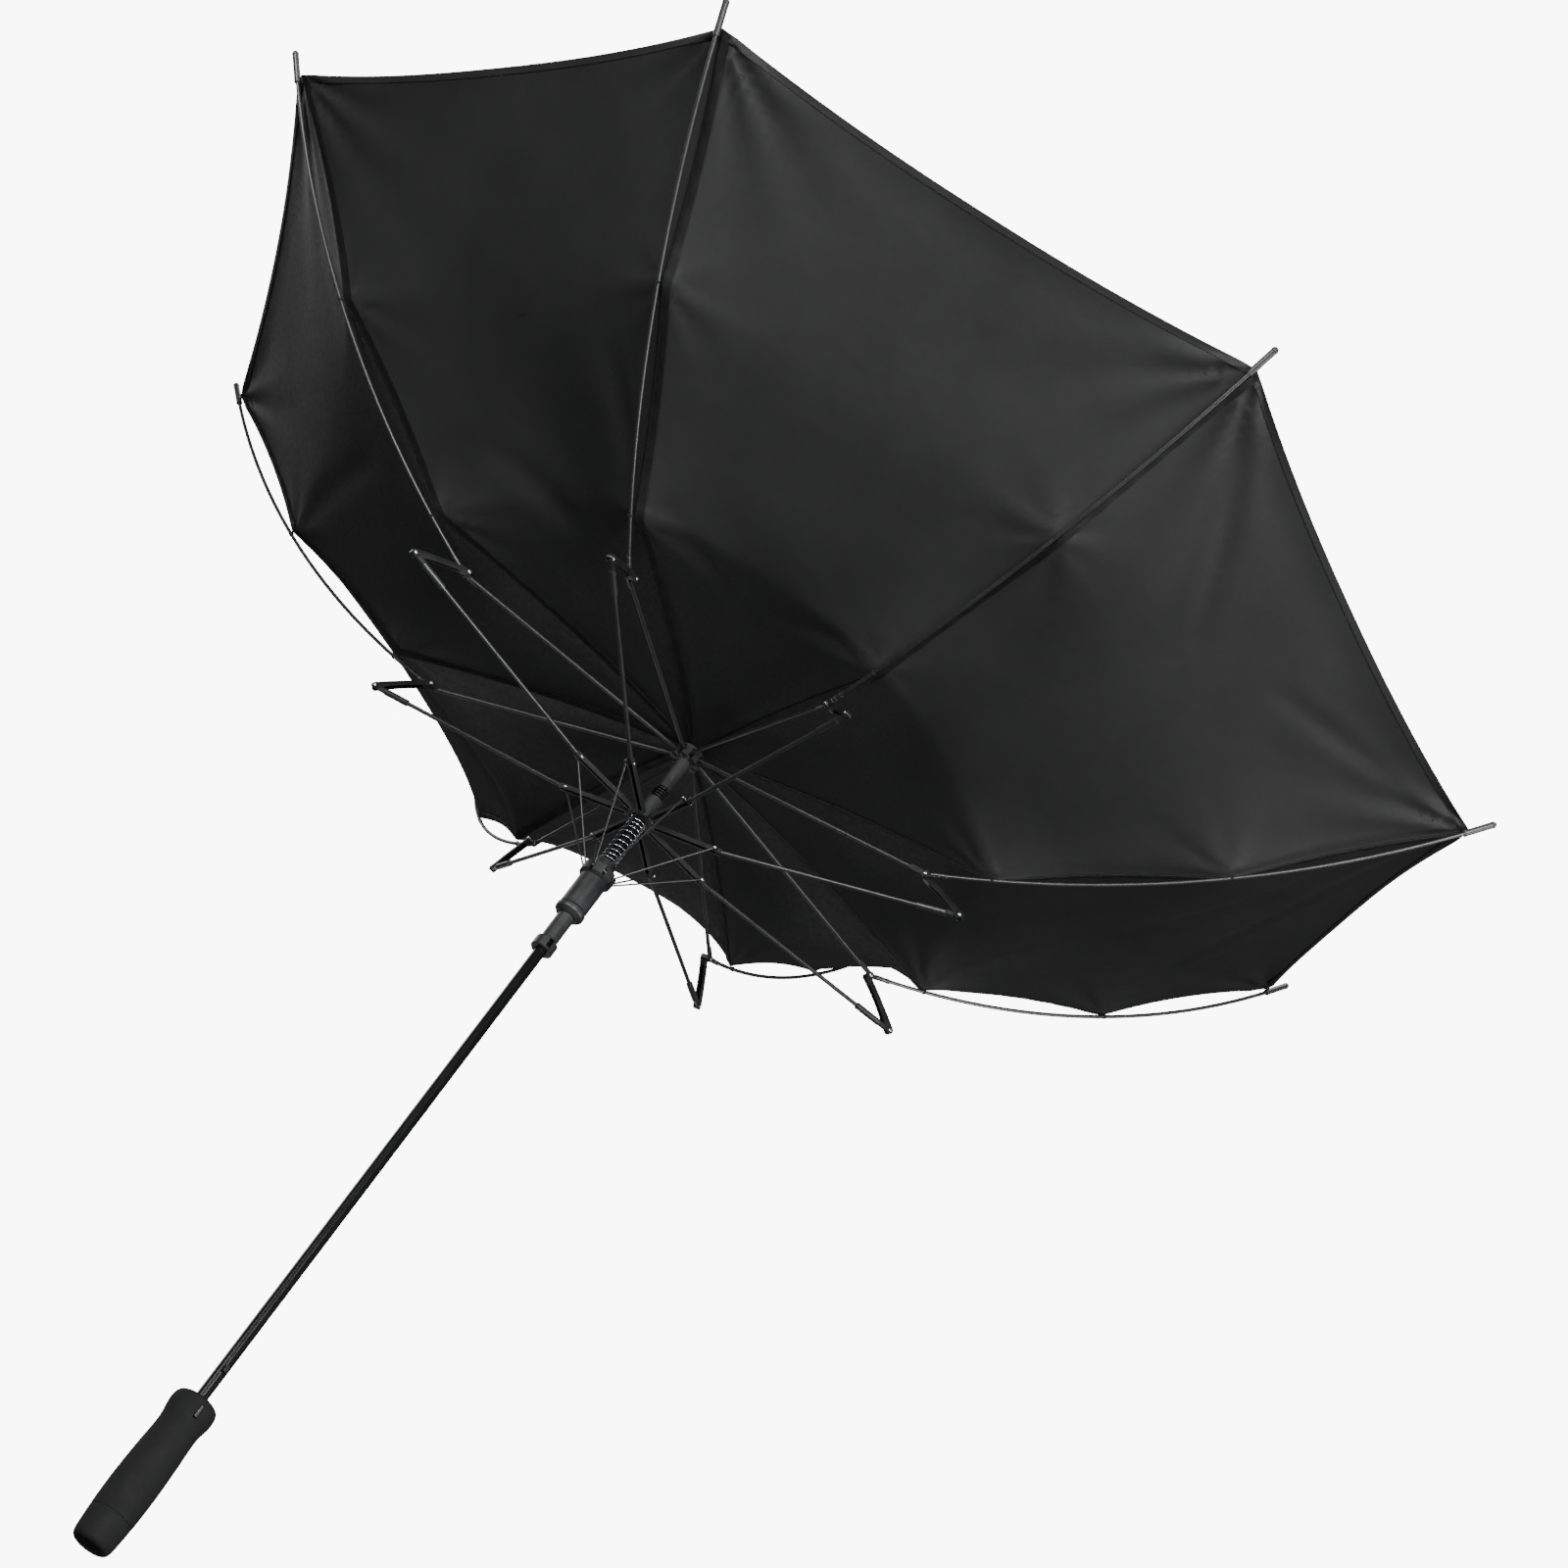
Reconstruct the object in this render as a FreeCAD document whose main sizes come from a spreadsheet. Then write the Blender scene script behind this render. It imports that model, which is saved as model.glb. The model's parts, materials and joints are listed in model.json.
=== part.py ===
"""Golf umbrella with a storm-proof double-hub frame, stored with its canopy blown inside out.

Millimetres, +Z up the shaft, origin at the middle of the handle's end face. Each rib set is drawn in its
own radial plane, with X outward and Z up, and then turned about the shaft to its azimuth. The ribs lie a
little to one side of that plane and the stretchers a little to the other, so that they pass each other.
"""

import FreeCAD, Part
import math
import os
import Sketcher

from FreeCAD import Placement, Rotation, Vector

RIBS = 8
STEP_ANGLE = 360.0 / RIBS
X_AXIS, Y_AXIS, Z_AXIS = Vector(1, 0, 0), Vector(0, 1, 0), Vector(0, 0, 1)

SIZES = {
    # shaft and handle
    "shaft_dia": 11.0,
    "shaft_bore": 9.2,
    "shaft_foot": 12.0,
    "shaft_top": 962.0,
    "grip_top": 151.0,
    "grip_seam": 30.0,
    "grip_dia": 41.2,
    "grip_neck_dia": 37.0,
    "grip_bulb_dia": 41.8,
    "core_dia": 18.0,
    "core_foot": 4.0,
    "slide_gap": 0.4,
    "fit_gap": 0.1,
    # button and catch, both on the side that faces -Y
    "button_width": 3.2,
    "button_height": 12.0,
    "button_level": 137.0,
    "button_reach": 21.6,
    "button_heel": 7.9,
    "stem_height": 5.0,
    "stem_end": 3.6,
    "catch_level": 184.0,
    "catch_height": 6.6,
    "catch_width": 3.0,
    "catch_reach": 9.4,
    "leaf_depth": 1.2,
    # crown
    "crown_level": 924.0,
    "pivot_reach": 11.0,
    "crown_dia": 29.0,
    "crown_thick": 14.0,
    "sleeve_dia": 14.4,
    "sleeve_length": 37.0,
    "washer_dia": 26.0,
    "ferrule_foot_dia": 15.0,
    "ferrule_tip_dia": 9.0,
    "ferrule_length": 79.2,
    # rib frame
    "rib_side": -2.3,
    "rib_dia": 3.8,
    "inner_length": 260.0,
    "inner_drop": 6.36,
    "outer_dia": 3.6,
    "outer_span": 507.1,
    "outer_rise": 31.9,
    "outer_bow": 36.0,
    "first_rib_lift": 10.4,
    "second_rib_lift": 13.0,
    "cap_dia": 6.0,
    "cap_length": 31.0,
    "ferrule_dia": 4.6,
    "ferrule_reach": 22.0,
    "eye_dia": 6.4,
    "tongue_thick": 1.8,
    "tongue_depth": 4.4,
    "tongue_length": 16.0,
    "joint_pin_length": 3.8,
    "pin_dia": 1.6,
    "joint_pin_dia": 2.0,
    "run_gap": 0.05,
    # hub and stretchers
    "hub_level": 840.5,
    "hub_dia": 28.0,
    "hub_neck_dia": 16.0,
    "hub_top": 866.0,
    "hub_foot": 838.2,
    "arm_side": 3.6,
    "arm_width": 6.0,
    "arm_depth": 4.4,
    "arm_wall": 0.8,
    "arm_reach": 70.0,
    "arm_rod_dia": 4.0,
    "arm_rod_length": 238.8,
    "arm_rod_rise": 7.09,
    "socket_dia": 6.4,
    "socket_length": 28.0,
    "arm_tongue_thick": 3.6,
    "arm_tongue_length": 15.0,
    "arm_eye_dia": 4.6,
    # links between stretcher and rib
    "link_width": 6.4,
    "link_wall": 1.1,
    "link_foot_dia": 7.6,
    "link_head_dia": 6.0,
    # runner and wires
    "wire_level": 767.0,
    "wire_foot": 14.5,
    "wire_side": -1.4,
    "wire_dia": 1.8,
    "wire_eye_dia": 4.2,
    "runner_top": 782.0,
    "runner_dia": 27.0,
    "runner_flange_dia": 33.0,
    "runner_shoulder": 717.0,
    "runner_foot": 671.0,
    "neck_dia": 16.6,
    "neck_ring_dia": 22.0,
    "neck_ring_height": 13.0,
    # springs
    "spring_dia": 16.4,
    "spring_wire": 1.1,
    "spring_turns": 10.5,
    "bumper_dia": 13.6,
    "bumper_turns": 4.0,
    # canopy
    "cloth_thick": 0.8,
    "cloth_gap": 0.4,
    "cloth_hole_dia": 15.0,
    "cloth_level": 931.6,
    "tie_inner": 58.8,
    "tie_outer": 270.0,
    "tie_hem": 484.0,
}

doc = FreeCAD.newDocument("golf_umbrella")
sheet = doc.addObject("Spreadsheet::Sheet", "Sizes")
for row, (alias, value) in enumerate(SIZES.items(), start=1):
    sheet.set(f"A{row}", alias)
    sheet.set(f"B{row}", str(value))
    sheet.setAlias(f"B{row}", alias)
doc.recompute()

pieces = []


def size(alias):
    """The value of one cell of the sheet, in millimetres or degrees."""
    return float(sheet.get(alias))


def bound(formula):
    """A formula written with the sheet's aliases, as an expression that reads those cells."""
    words = formula.replace("(", " ( ").replace(")", " ) ").split()
    return " ".join("Sizes." + word if word in SIZES else word for word in words)


def solid(kind, name, at=Vector(), turn=Rotation(), **formulas):
    """A Part primitive whose sizes follow the sheet."""
    thing = doc.addObject("Part::" + kind, name)
    for prop, formula in formulas.items():
        thing.setExpression(prop, bound(formula))
    thing.Placement = Placement(at, turn)
    return thing


def fuse(name, shapes):
    joined = doc.addObject("Part::MultiFuse", name)
    joined.Shapes = shapes
    return joined


def cut(name, base, tool):
    less = doc.addObject("Part::Cut", name)
    less.Base, less.Tool = base, tool
    return less


def group(name, shapes):
    """Separate solids that share one node."""
    together = doc.addObject("Part::Compound", name)
    together.Links = shapes
    return together


def piece(label, thing, azimuth=0.0):
    """Names a finished sub-part and turns it about the shaft to its place."""
    thing.Label = label
    turn = Placement(Vector(), Rotation(Z_AXIS, azimuth))
    thing.Placement = turn.multiply(thing.Placement)
    pieces.append(thing)
    return thing


def value_of(formula):
    """The number that a formula of the sheet's aliases gives."""
    words = formula.replace("(", " ( ").replace(")", " ) ").split()
    numbers = [repr(size(word)) if word in SIZES else word for word in words]
    return float(FreeCAD.Units.Quantity("(" + "".join(numbers) + ")").Value)


def aimed(angle):
    """Turns a primitive's own Z axis to point outward and up at an angle, in the radial plane."""
    return Rotation(Y_AXIS, 90.0 - angle)


def level_with(angle):
    """Turns a primitive's own X axis to point outward and up at an angle, in the radial plane."""
    return Rotation(Y_AXIS, -angle)


def along(start, angle, distance, side=None):
    """The point at a distance from another in the radial plane, at an angle above outward."""
    reach = Vector(math.cos(math.radians(angle)), 0, math.sin(math.radians(angle))) * distance
    point = start + reach
    return Vector(point.x, start.y if side is None else side, point.z)


SIDEWAYS = Rotation(X_AXIS, -90)
SLOT_REACH = "20"
SLOT_MIDDLE = 7.2


def across(name, at, side, width, diameter):
    """A cylinder across the radial plane, centred on y = side."""
    foot = Vector(at.x, side - value_of(width) / 2, at.z)
    return solid("Cylinder", name, foot, SIDEWAYS, Radius=f"( {diameter} ) / 2", Height=width)


def bar(name, start, angle, side, length, width, depth, drop=0.0):
    """A flat bar that runs from start at an angle, centred on y = side, lowered by drop."""
    corner = along(start, angle - 90.0, value_of(depth) / 2 + drop, side - value_of(width) / 2)
    return solid("Box", name, corner, level_with(angle), Length=length, Width=width, Height=depth)


def rod(name, start, angle, side, length, diameter):
    """A round rod that runs from start at an angle, centred on y = side."""
    foot = Vector(start.x, side, start.z)
    return solid("Cylinder", name, foot, aimed(angle), Radius=f"( {diameter} ) / 2", Height=length)


def block(name, middle, long_x, long_y, long_z):
    """A box about its middle."""
    half = Vector(value_of(long_x), value_of(long_y), value_of(long_z)) * 0.5
    return solid("Box", name, middle - half, Length=long_x, Width=long_y, Height=long_z)


def around(name, make):
    """The same form at each rib, turned about the shaft."""
    forms = []
    for n in range(RIBS):
        form = make(f"{name}_{n + 1}")
        turn = Placement(Vector(), Rotation(Z_AXIS, n * STEP_ANGLE))
        form.Placement = turn.multiply(form.Placement)
        forms.append(form)
    return forms


def coil(name, diameter, turns, low, high):
    """A round-wire spring between two heights of its wire's centre line."""
    line = doc.addObject("Part::Helix", name + "_line")
    line.setExpression("Radius", bound(f"{diameter} / 2"))
    line.Height = high - low
    line.setExpression("Pitch", bound(f"{high - low} / {turns}"))
    start = Vector(value_of(diameter) / 2, 0, 0)
    section = solid("Circle", name + "_section", start, Rotation(X_AXIS, 90), Radius="spring_wire / 2")
    wound = doc.addObject("Part::Sweep", name)
    wound.Sections = [section]
    wound.Spine = (line, ["Edge1"])
    wound.Solid = True
    wound.Frenet = True
    wound.Placement.Base = Vector(0, 0, low)
    return wound


def turned(name, outline, rounds=()):
    """A PartDesign body turned about Z from an outline of (radius, height) formulas, with rounded rims."""
    body = doc.addObject("PartDesign::Body", name)
    sketch = body.newObject("Sketcher::SketchObject", name + "_outline")
    plane = next(f for f in body.Origin.OriginFeatures if f.Role == "XZ_Plane")
    sketch.AttachmentSupport = [(plane, "")]
    sketch.MapMode = "FlatFace"
    doc.recompute()
    points = [Vector(value_of(r), value_of(h), 0) for r, h in outline]
    count = len(points)
    for n, point in enumerate(points):
        sketch.addGeometry(Part.LineSegment(point, points[(n + 1) % count]), False)
    for n in range(count):
        sketch.addConstraint(Sketcher.Constraint("Coincident", n, 2, (n + 1) % count, 1))
    for n, formulas in enumerate(outline):
        for way, formula in zip(("DistanceX", "DistanceY"), formulas):
            rule = Sketcher.Constraint(way, -1, 1, n, 1, value_of(formula))
            index = sketch.addConstraint(rule)
            sketch.setExpression(f"Constraints[{index}]", bound(formula))
    turn = body.newObject("PartDesign::Revolution", name + "_turn")
    turn.Profile = sketch
    turn.ReferenceAxis = (sketch, ["V_Axis"])
    turn.Angle = 360.0
    doc.recompute()
    base = turn
    for n, (radius, height, blend) in enumerate(rounds):
        rim = find_rim(base.Shape, value_of(radius), value_of(height))
        soft = body.newObject("PartDesign::Fillet", f"{name}_round_{n}")
        soft.Base = (base, [rim])
        soft.Radius = blend
        doc.recompute()
        base = soft
    body.Tip = base
    return body


def find_rim(shape, radius, height):
    """The name of the circular edge at a radius and a height."""
    for n, edge in enumerate(shape.Edges, start=1):
        curve = edge.Curve
        if not isinstance(curve, Part.Circle):
            continue
        if abs(curve.Radius - radius) < 0.01 and abs(curve.Center.z - height) < 0.01:
            return f"Edge{n}"
    raise ValueError(f"no rim of radius {radius} at {height}")


CROWN_PIVOT = Vector(size("pivot_reach"), 0, size("crown_level"))
RIB_JOINT = along(CROWN_PIVOT, -size("inner_drop"), size("inner_length"))
HUB_PIVOT = Vector(size("pivot_reach"), 0, size("hub_level"))
WIRE_HEAD = Vector(size("pivot_reach") + size("arm_reach"), 0, size("hub_level"))
LINK_FOOT = along(WIRE_HEAD, size("arm_rod_rise"), size("arm_rod_length"))
WIRE_ANCHOR = Vector(size("wire_foot"), 0, size("wire_level"))

BOW_RADIUS = (size("outer_span") ** 2 / 4 + size("outer_bow") ** 2) / (2 * size("outer_bow"))
HALF_BOW = math.degrees(math.asin(size("outer_span") / 2 / BOW_RADIUS))
PIN_HOLE = "pin_dia + 2 * run_gap"
JOINT_HOLE = "joint_pin_dia + 2 * run_gap"


def bearing(at):
    """The length of a vector in the radial plane and its angle above outward."""
    return math.hypot(at.x, at.z), math.degrees(math.atan2(at.z, at.x))


LINK_LENGTH, LINK_ANGLE = bearing(RIB_JOINT - LINK_FOOT)
WIRE_LENGTH, WIRE_ANGLE = bearing(WIRE_HEAD - WIRE_ANCHOR)


def lift_of(number):
    """How far an outer rib stands above the others' rise: the first two have bent up further."""
    lifts = {1: "first_rib_lift", 2: "second_rib_lift"}
    return size(lifts[number]) if number in lifts else 0.0


def handle():
    """Foam grip, its end cap and the plastic core that holds the shaft, with the button's slot."""
    grip_bore = "core_dia / 2 + fit_gap"
    neck = "grip_neck_dia / 2"
    bulb = "grip_bulb_dia / 2"
    crest = "grip_bulb_dia / 2 - 8"
    grip = turned(
        "grip_form",
        [
            (grip_bore, "grip_seam + 0.4"),
            ("grip_dia / 2 - 0.7", "grip_seam + 0.4"),
            ("grip_dia / 2", "grip_seam + 8"),
            ("grip_dia / 2", "grip_top - 63"),
            (neck, "grip_top - 34"),
            (bulb, "grip_top - 19"),
            (bulb, "grip_top - 10"),
            (crest, "grip_top"),
            (grip_bore, "grip_top"),
        ],
        [
            (neck, "grip_top - 34", 30.0),
            (bulb, "grip_top - 19", 9.0),
            (bulb, "grip_top - 10", 7.0),
            (crest, "grip_top", 4.0),
        ],
    )
    piece("handle_grip", cut("grip_slotted", grip, button_slot("grip_slot")))
    cap_foot = "grip_dia / 2 - 1"
    cap = turned(
        "cap_form",
        [
            ("0", "0"),
            (cap_foot, "0"),
            ("grip_dia / 2 - 0.7", "grip_seam"),
            (grip_bore, "grip_seam"),
            (grip_bore, "core_foot - 0.2"),
            ("0", "core_foot - 0.2"),
        ],
        [(cap_foot, "0", 11.0)],
    )
    piece("handle_end_cap", cap)
    shaft_fit = "shaft_dia / 2 + fit_gap"
    core = turned(
        "core_form",
        [
            ("0", "core_foot"),
            ("core_dia / 2", "core_foot"),
            ("core_dia / 2", "grip_top - 5"),
            (shaft_fit, "grip_top - 5"),
            (shaft_fit, "shaft_foot - fit_gap"),
            ("0", "shaft_foot - fit_gap"),
        ],
    )
    piece("handle_core", cut("core_slotted", core, button_slot("core_slot")))


def button_slot(name):
    """The slot that the button travels in, from the shaft out through the grip."""
    middle = Vector(0, -size("shaft_dia") / 2 - 13, size("button_level"))
    wide, tall = "button_width + 2 * slide_gap", "button_height + 2 * slide_gap"
    return block(name, middle, wide, "28", tall)


def shaft():
    """The tube, slotted on its -Y side for the button's stem and for the catch."""
    tube = turned(
        "tube",
        [
            ("shaft_bore / 2", "shaft_foot"),
            ("shaft_dia / 2", "shaft_foot"),
            ("shaft_dia / 2", "shaft_top"),
            ("shaft_bore / 2", "shaft_top"),
        ],
    )
    wide = "catch_width + 2 * slide_gap"
    front = -size("shaft_dia") / 2
    stem_gate = Vector(0, front, size("button_level"))
    catch_gate = Vector(0, front, size("catch_level"))
    gates = [
        block("stem_gate", stem_gate, wide, "6", "stem_height + 2 * slide_gap"),
        block("catch_gate", catch_gate, wide, "6", "catch_height + 2 * slide_gap"),
    ]
    piece("shaft", cut("slotted_tube", tube, fuse("gates", gates)))


def latch():
    """Push button, the catch with its leaf inside the shaft, and the spring behind the leaf."""
    depth = "button_reach - button_heel"
    middle = -(size("button_reach") + size("button_heel")) / 2
    place = Vector(0, middle, size("button_level"))
    fin = block("button_fin", place, "button_width", depth, "button_height")
    doc.recompute()
    rounded = doc.addObject("Part::Fillet", "button_rounded")
    rounded.Base = fin
    rounded.Edges = [(n, 1.2, 1.2) for n in outer_edges(fin.Shape, -size("button_reach"))]
    stem_middle = -(size("button_heel") + 0.5 + size("stem_end")) / 2
    place = Vector(0, stem_middle, size("button_level"))
    stem_run = "button_heel + 0.5 - stem_end"
    stem = block("button_stem", place, "catch_width", stem_run, "stem_height")
    piece("push_button", fuse("button_joined", [rounded, stem]))

    leaf_back = size("stem_end") - 0.2 - size("leaf_depth")
    tooth_middle = -(size("catch_reach") + leaf_back) / 2
    tooth_depth = "catch_reach - stem_end + 0.2 + leaf_depth"
    place = Vector(0, tooth_middle, size("catch_level"))
    tooth = block("catch_tooth", place, "catch_width", tooth_depth, "catch_height")
    foot = size("button_level") - 9.0
    head = size("catch_level") + size("catch_height") / 2
    place = Vector(0, -leaf_back - size("leaf_depth") / 2, (foot + head) / 2)
    leaf = block("catch_leaf", place, "catch_width", "leaf_depth", str(head - foot))
    piece("runner_catch", fuse("catch_joined", [tooth, leaf]))

    place = Vector(0, 3.5, size("catch_level") - 19)
    piece("catch_spring", block("leaf_spring", place, "catch_width", "0.6", "34"))


def outer_edges(shape, level):
    """The numbers of the edges that lie on y = level."""
    return [
        n
        for n, edge in enumerate(shape.Edges, start=1)
        if all(abs(corner.Point.y - level) < 0.01 for corner in edge.Vertexes)
    ]


def crown():
    """Rib crown with its pins, the washer and ferrule above the cloth, the sleeve and its bumper."""
    fit = "shaft_dia / 2 + fit_gap"
    low, high = "crown_level - crown_thick / 2", "crown_level + crown_thick / 2"
    form = turned(
        "crown_form",
        [
            (fit, low),
            ("crown_dia / 2", low),
            ("crown_dia / 2", high + " - 2"),
            ("crown_dia / 2 - 2", high),
            (fit, high),
        ],
    )
    side = size("rib_side")
    slot_middle = CROWN_PIVOT + Vector(SLOT_MIDDLE, side, -3.0)
    slots = around("crown_slot", lambda name: block(name, slot_middle, SLOT_REACH, "rib_dia + 0.6", "12"))
    holes = around("crown_hole", lambda name: across(name, CROWN_PIVOT, side, "7.6", PIN_HOLE))
    piece("crown_notch", cut("crown_cut", form, fuse("crown_cuts", slots + holes)))
    pins = around("crown_pin", lambda name: across(name, CROWN_PIVOT, side, "7.4", "pin_dia"))
    piece("crown_pins", group("crown_pin_set", pins))

    foot = "cloth_level + cloth_thick + cloth_gap"
    washer = turned(
        "washer_form",
        [
            (fit, foot),
            ("washer_dia / 2", foot),
            ("washer_dia / 2 - 1", foot + " + 2"),
            (fit, foot + " + 2"),
        ],
    )
    piece("crown_washer", washer)
    tip = foot + " + 2 + ferrule_length"
    ferrule = turned(
        "ferrule_form",
        [
            (fit, foot + " + 2"),
            ("ferrule_foot_dia / 2 + 1", foot + " + 2"),
            ("ferrule_foot_dia / 2", foot + " + 6"),
            ("ferrule_foot_dia / 2 - 0.6", "shaft_top + 2"),
            ("ferrule_tip_dia / 2", "shaft_top + 14"),
            ("ferrule_tip_dia / 2", tip + " - 2"),
            ("ferrule_tip_dia / 2 - 2", tip),
            ("0", tip),
            ("0", "shaft_top + 1"),
            (fit, "shaft_top + 1"),
        ],
    )
    piece("ferrule", ferrule)
    sleeve = turned(
        "sleeve_form",
        [
            (fit, low),
            ("sleeve_dia / 2", low),
            ("sleeve_dia / 2", low + " - sleeve_length"),
            (fit, low + " - sleeve_length"),
        ],
    )
    piece("crown_sleeve", sleeve)
    sleeve_foot = value_of(low + " - sleeve_length")
    bumper = coil("bumper", "bumper_dia", "bumper_turns", size("hub_top") + 1, sleeve_foot - 1)
    piece("bumper_spring", bumper)


def hub():
    """The sliding hub that carries the stretchers, and its pins."""
    bore = "shaft_dia / 2 + slide_gap"
    flange_top = "hub_level + 5.5"
    form = turned(
        "hub_form",
        [
            (bore, "hub_foot"),
            ("hub_dia / 2 - 1", "hub_foot"),
            ("hub_dia / 2", "hub_foot + 1"),
            ("hub_dia / 2", flange_top),
            ("hub_neck_dia / 2", flange_top),
            ("hub_neck_dia / 2", "hub_top"),
            (bore, "hub_top"),
        ],
    )
    side = size("arm_side")
    slot_middle = HUB_PIVOT + Vector(SLOT_MIDDLE, side, 0)
    slot_width = "arm_width + 0.8"
    slots = around("hub_slot", lambda name: block(name, slot_middle, SLOT_REACH, slot_width, "14"))
    pin_side = side + 0.25
    holes = around("hub_hole", lambda name: across(name, HUB_PIVOT, pin_side, "8.8", PIN_HOLE))
    piece("upper_hub", cut("hub_cut", form, fuse("hub_cuts", slots + holes)))
    pins = around("hub_pin", lambda name: across(name, HUB_PIVOT, pin_side, "8.6", "pin_dia"))
    piece("hub_pins", group("hub_pin_set", pins))


def runner():
    """The runner with its wire slots and pins, and the neck below it with the catch's window."""
    bore = "shaft_dia / 2 + slide_gap"
    flange_foot, flange_top = "wire_level - 5", "wire_level + 5"
    form = turned(
        "runner_form",
        [
            (bore, "runner_shoulder - 3"),
            ("runner_dia / 2 + 1 - 4", "runner_shoulder - 3"),
            ("runner_dia / 2 + 1", "runner_shoulder + 1"),
            ("runner_dia / 2 + 1", "runner_shoulder + 5"),
            ("runner_dia / 2", "runner_shoulder + 7"),
            ("runner_dia / 2", flange_foot + " - 3"),
            ("runner_flange_dia / 2", flange_foot),
            ("runner_flange_dia / 2", flange_top),
            ("runner_flange_dia / 2 - 6", flange_top),
            ("runner_flange_dia / 2 - 6.5", "runner_top"),
            (bore, "runner_top"),
        ],
        [("runner_dia / 2 + 1", "runner_shoulder + 1", 3.0)],
    )
    side = size("wire_side")
    slot_middle = WIRE_ANCHOR + Vector(7.5, side, 0)
    slots = around("wire_slot", lambda name: block(name, slot_middle, SLOT_REACH, "wire_dia + 1", "14"))
    holes = around("wire_hole", lambda name: across(name, WIRE_ANCHOR, side, "7.8", PIN_HOLE))
    piece("runner_body", cut("runner_cut", form, fuse("runner_cuts", slots + holes)))
    pins = around("wire_pin", lambda name: across(name, WIRE_ANCHOR, side, "7.6", "pin_dia"))
    piece("runner_pins", group("runner_pin_set", pins))

    ring_top = "runner_foot + neck_ring_height"
    neck = turned(
        "neck_form",
        [
            (bore, "runner_foot"),
            ("neck_ring_dia / 2 - 1", "runner_foot"),
            ("neck_ring_dia / 2", "runner_foot + 1"),
            ("neck_ring_dia / 2", ring_top + " - 2"),
            ("neck_dia / 2", ring_top),
            ("neck_dia / 2", "runner_shoulder - 3.1"),
            (bore, "runner_shoulder - 3.1"),
        ],
    )
    gate_middle = Vector(0, -size("neck_ring_dia") / 2, value_of("runner_foot + 7.25"))
    gate = block("neck_gate", gate_middle, "catch_width + 2", "14", "catch_height + 3")
    piece("runner_neck", cut("neck_cut", neck, gate))


def inner_rib(k, azimuth):
    """One inner rib: the eye on the crown, the rod and the tongue with the outer joint's pin."""
    angle = -size("inner_drop")
    side = size("rib_side")
    tongue_side = side - 1.0
    rod_start = along(CROWN_PIVOT, angle, 1.8)
    tongue_start = along(RIB_JOINT, angle, -size("tongue_length"))
    tongue_sizes = ("tongue_length", "tongue_thick", "tongue_depth")
    forms = [
        across(f"crown_eye_{k}", CROWN_PIVOT, side, "3.6", "eye_dia * 0.75"),
        rod(f"inner_rod_{k}", rod_start, angle, side, "inner_length - 7.8", "rib_dia"),
        bar(f"inner_tongue_{k}", tongue_start, angle, tongue_side, *tongue_sizes),
        across(f"inner_eye_{k}", RIB_JOINT, tongue_side, "tongue_thick", "eye_dia"),
        across(f"inner_pin_{k}", RIB_JOINT, side, "joint_pin_length", "joint_pin_dia"),
    ]
    hole = across(f"crown_eye_hole_{k}", CROWN_PIVOT, side, "8", PIN_HOLE)
    piece(f"inner_rib_{k}", cut(f"inner_cut_{k}", fuse(f"inner_joined_{k}", forms), hole), azimuth)


def outer_rib(k, azimuth, lift):
    """One outer rib: the eye, its metal sleeve, the bowed rod, and the cap on its tip."""
    side = size("rib_side")
    eye_side = side + 1.0
    rise = size("outer_rise") + lift
    root_angle = rise - HALF_BOW
    middle = along(RIB_JOINT, rise, size("outer_span") / 2)
    centre = along(middle, rise + 90, BOW_RADIUS - size("outer_bow"), side)
    bowed = solid("Torus", f"outer_rod_{k}", centre, Radius2="outer_dia / 2")
    bowed.Radius1 = BOW_RADIUS
    skipped = math.degrees(7.0 / BOW_RADIUS)
    start = root_angle - 90 + skipped
    bowed.Angle3 = 2 * HALF_BOW - skipped - math.degrees(4.0 / BOW_RADIUS)
    bowed.Placement.Rotation = Rotation(-Y_AXIS, start).multiply(Rotation(X_AXIS, 90))
    sleeve_start = along(RIB_JOINT, root_angle, 6.0)
    forms = [
        across(f"outer_eye_{k}", RIB_JOINT, eye_side, "tongue_thick", "eye_dia"),
        bar(f"outer_tongue_{k}", RIB_JOINT, root_angle, eye_side, "8", "tongue_thick", "tongue_depth"),
        rod(f"outer_sleeve_{k}", sleeve_start, root_angle, side, "ferrule_reach - 6", "ferrule_dia"),
        bowed,
    ]
    hole = across(f"outer_eye_hole_{k}", RIB_JOINT, side, "8", JOINT_HOLE)
    rib = cut(f"outer_cut_{k}", fuse(f"outer_joined_{k}", forms), hole)

    cap_angle = rise + HALF_BOW - math.degrees(size("cap_length") / 2 / BOW_RADIUS)
    tip = along(RIB_JOINT, rise, size("outer_span"))
    cap_start = along(tip, cap_angle, -size("cap_length"))
    tube = rod(f"cap_tube_{k}", cap_start, cap_angle, side, "cap_length - 2", "cap_dia")
    nose_start = along(tip, cap_angle, -2.0, side)
    nose = solid("Cone", f"cap_nose_{k}", nose_start, aimed(cap_angle), Radius1="cap_dia / 2", Height="2")
    nose.setExpression("Radius2", bound("cap_dia / 2 - 1.5"))
    bore = rod(f"cap_bore_{k}", cap_start, cap_angle, side, "cap_length - 3", "outer_dia + 0.6")
    cap = cut(f"cap_{k}", fuse(f"cap_joined_{k}", [tube, nose]), bore)
    piece(f"outer_rib_{k}", group(f"outer_set_{k}", [rib, cap]), azimuth)


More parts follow.
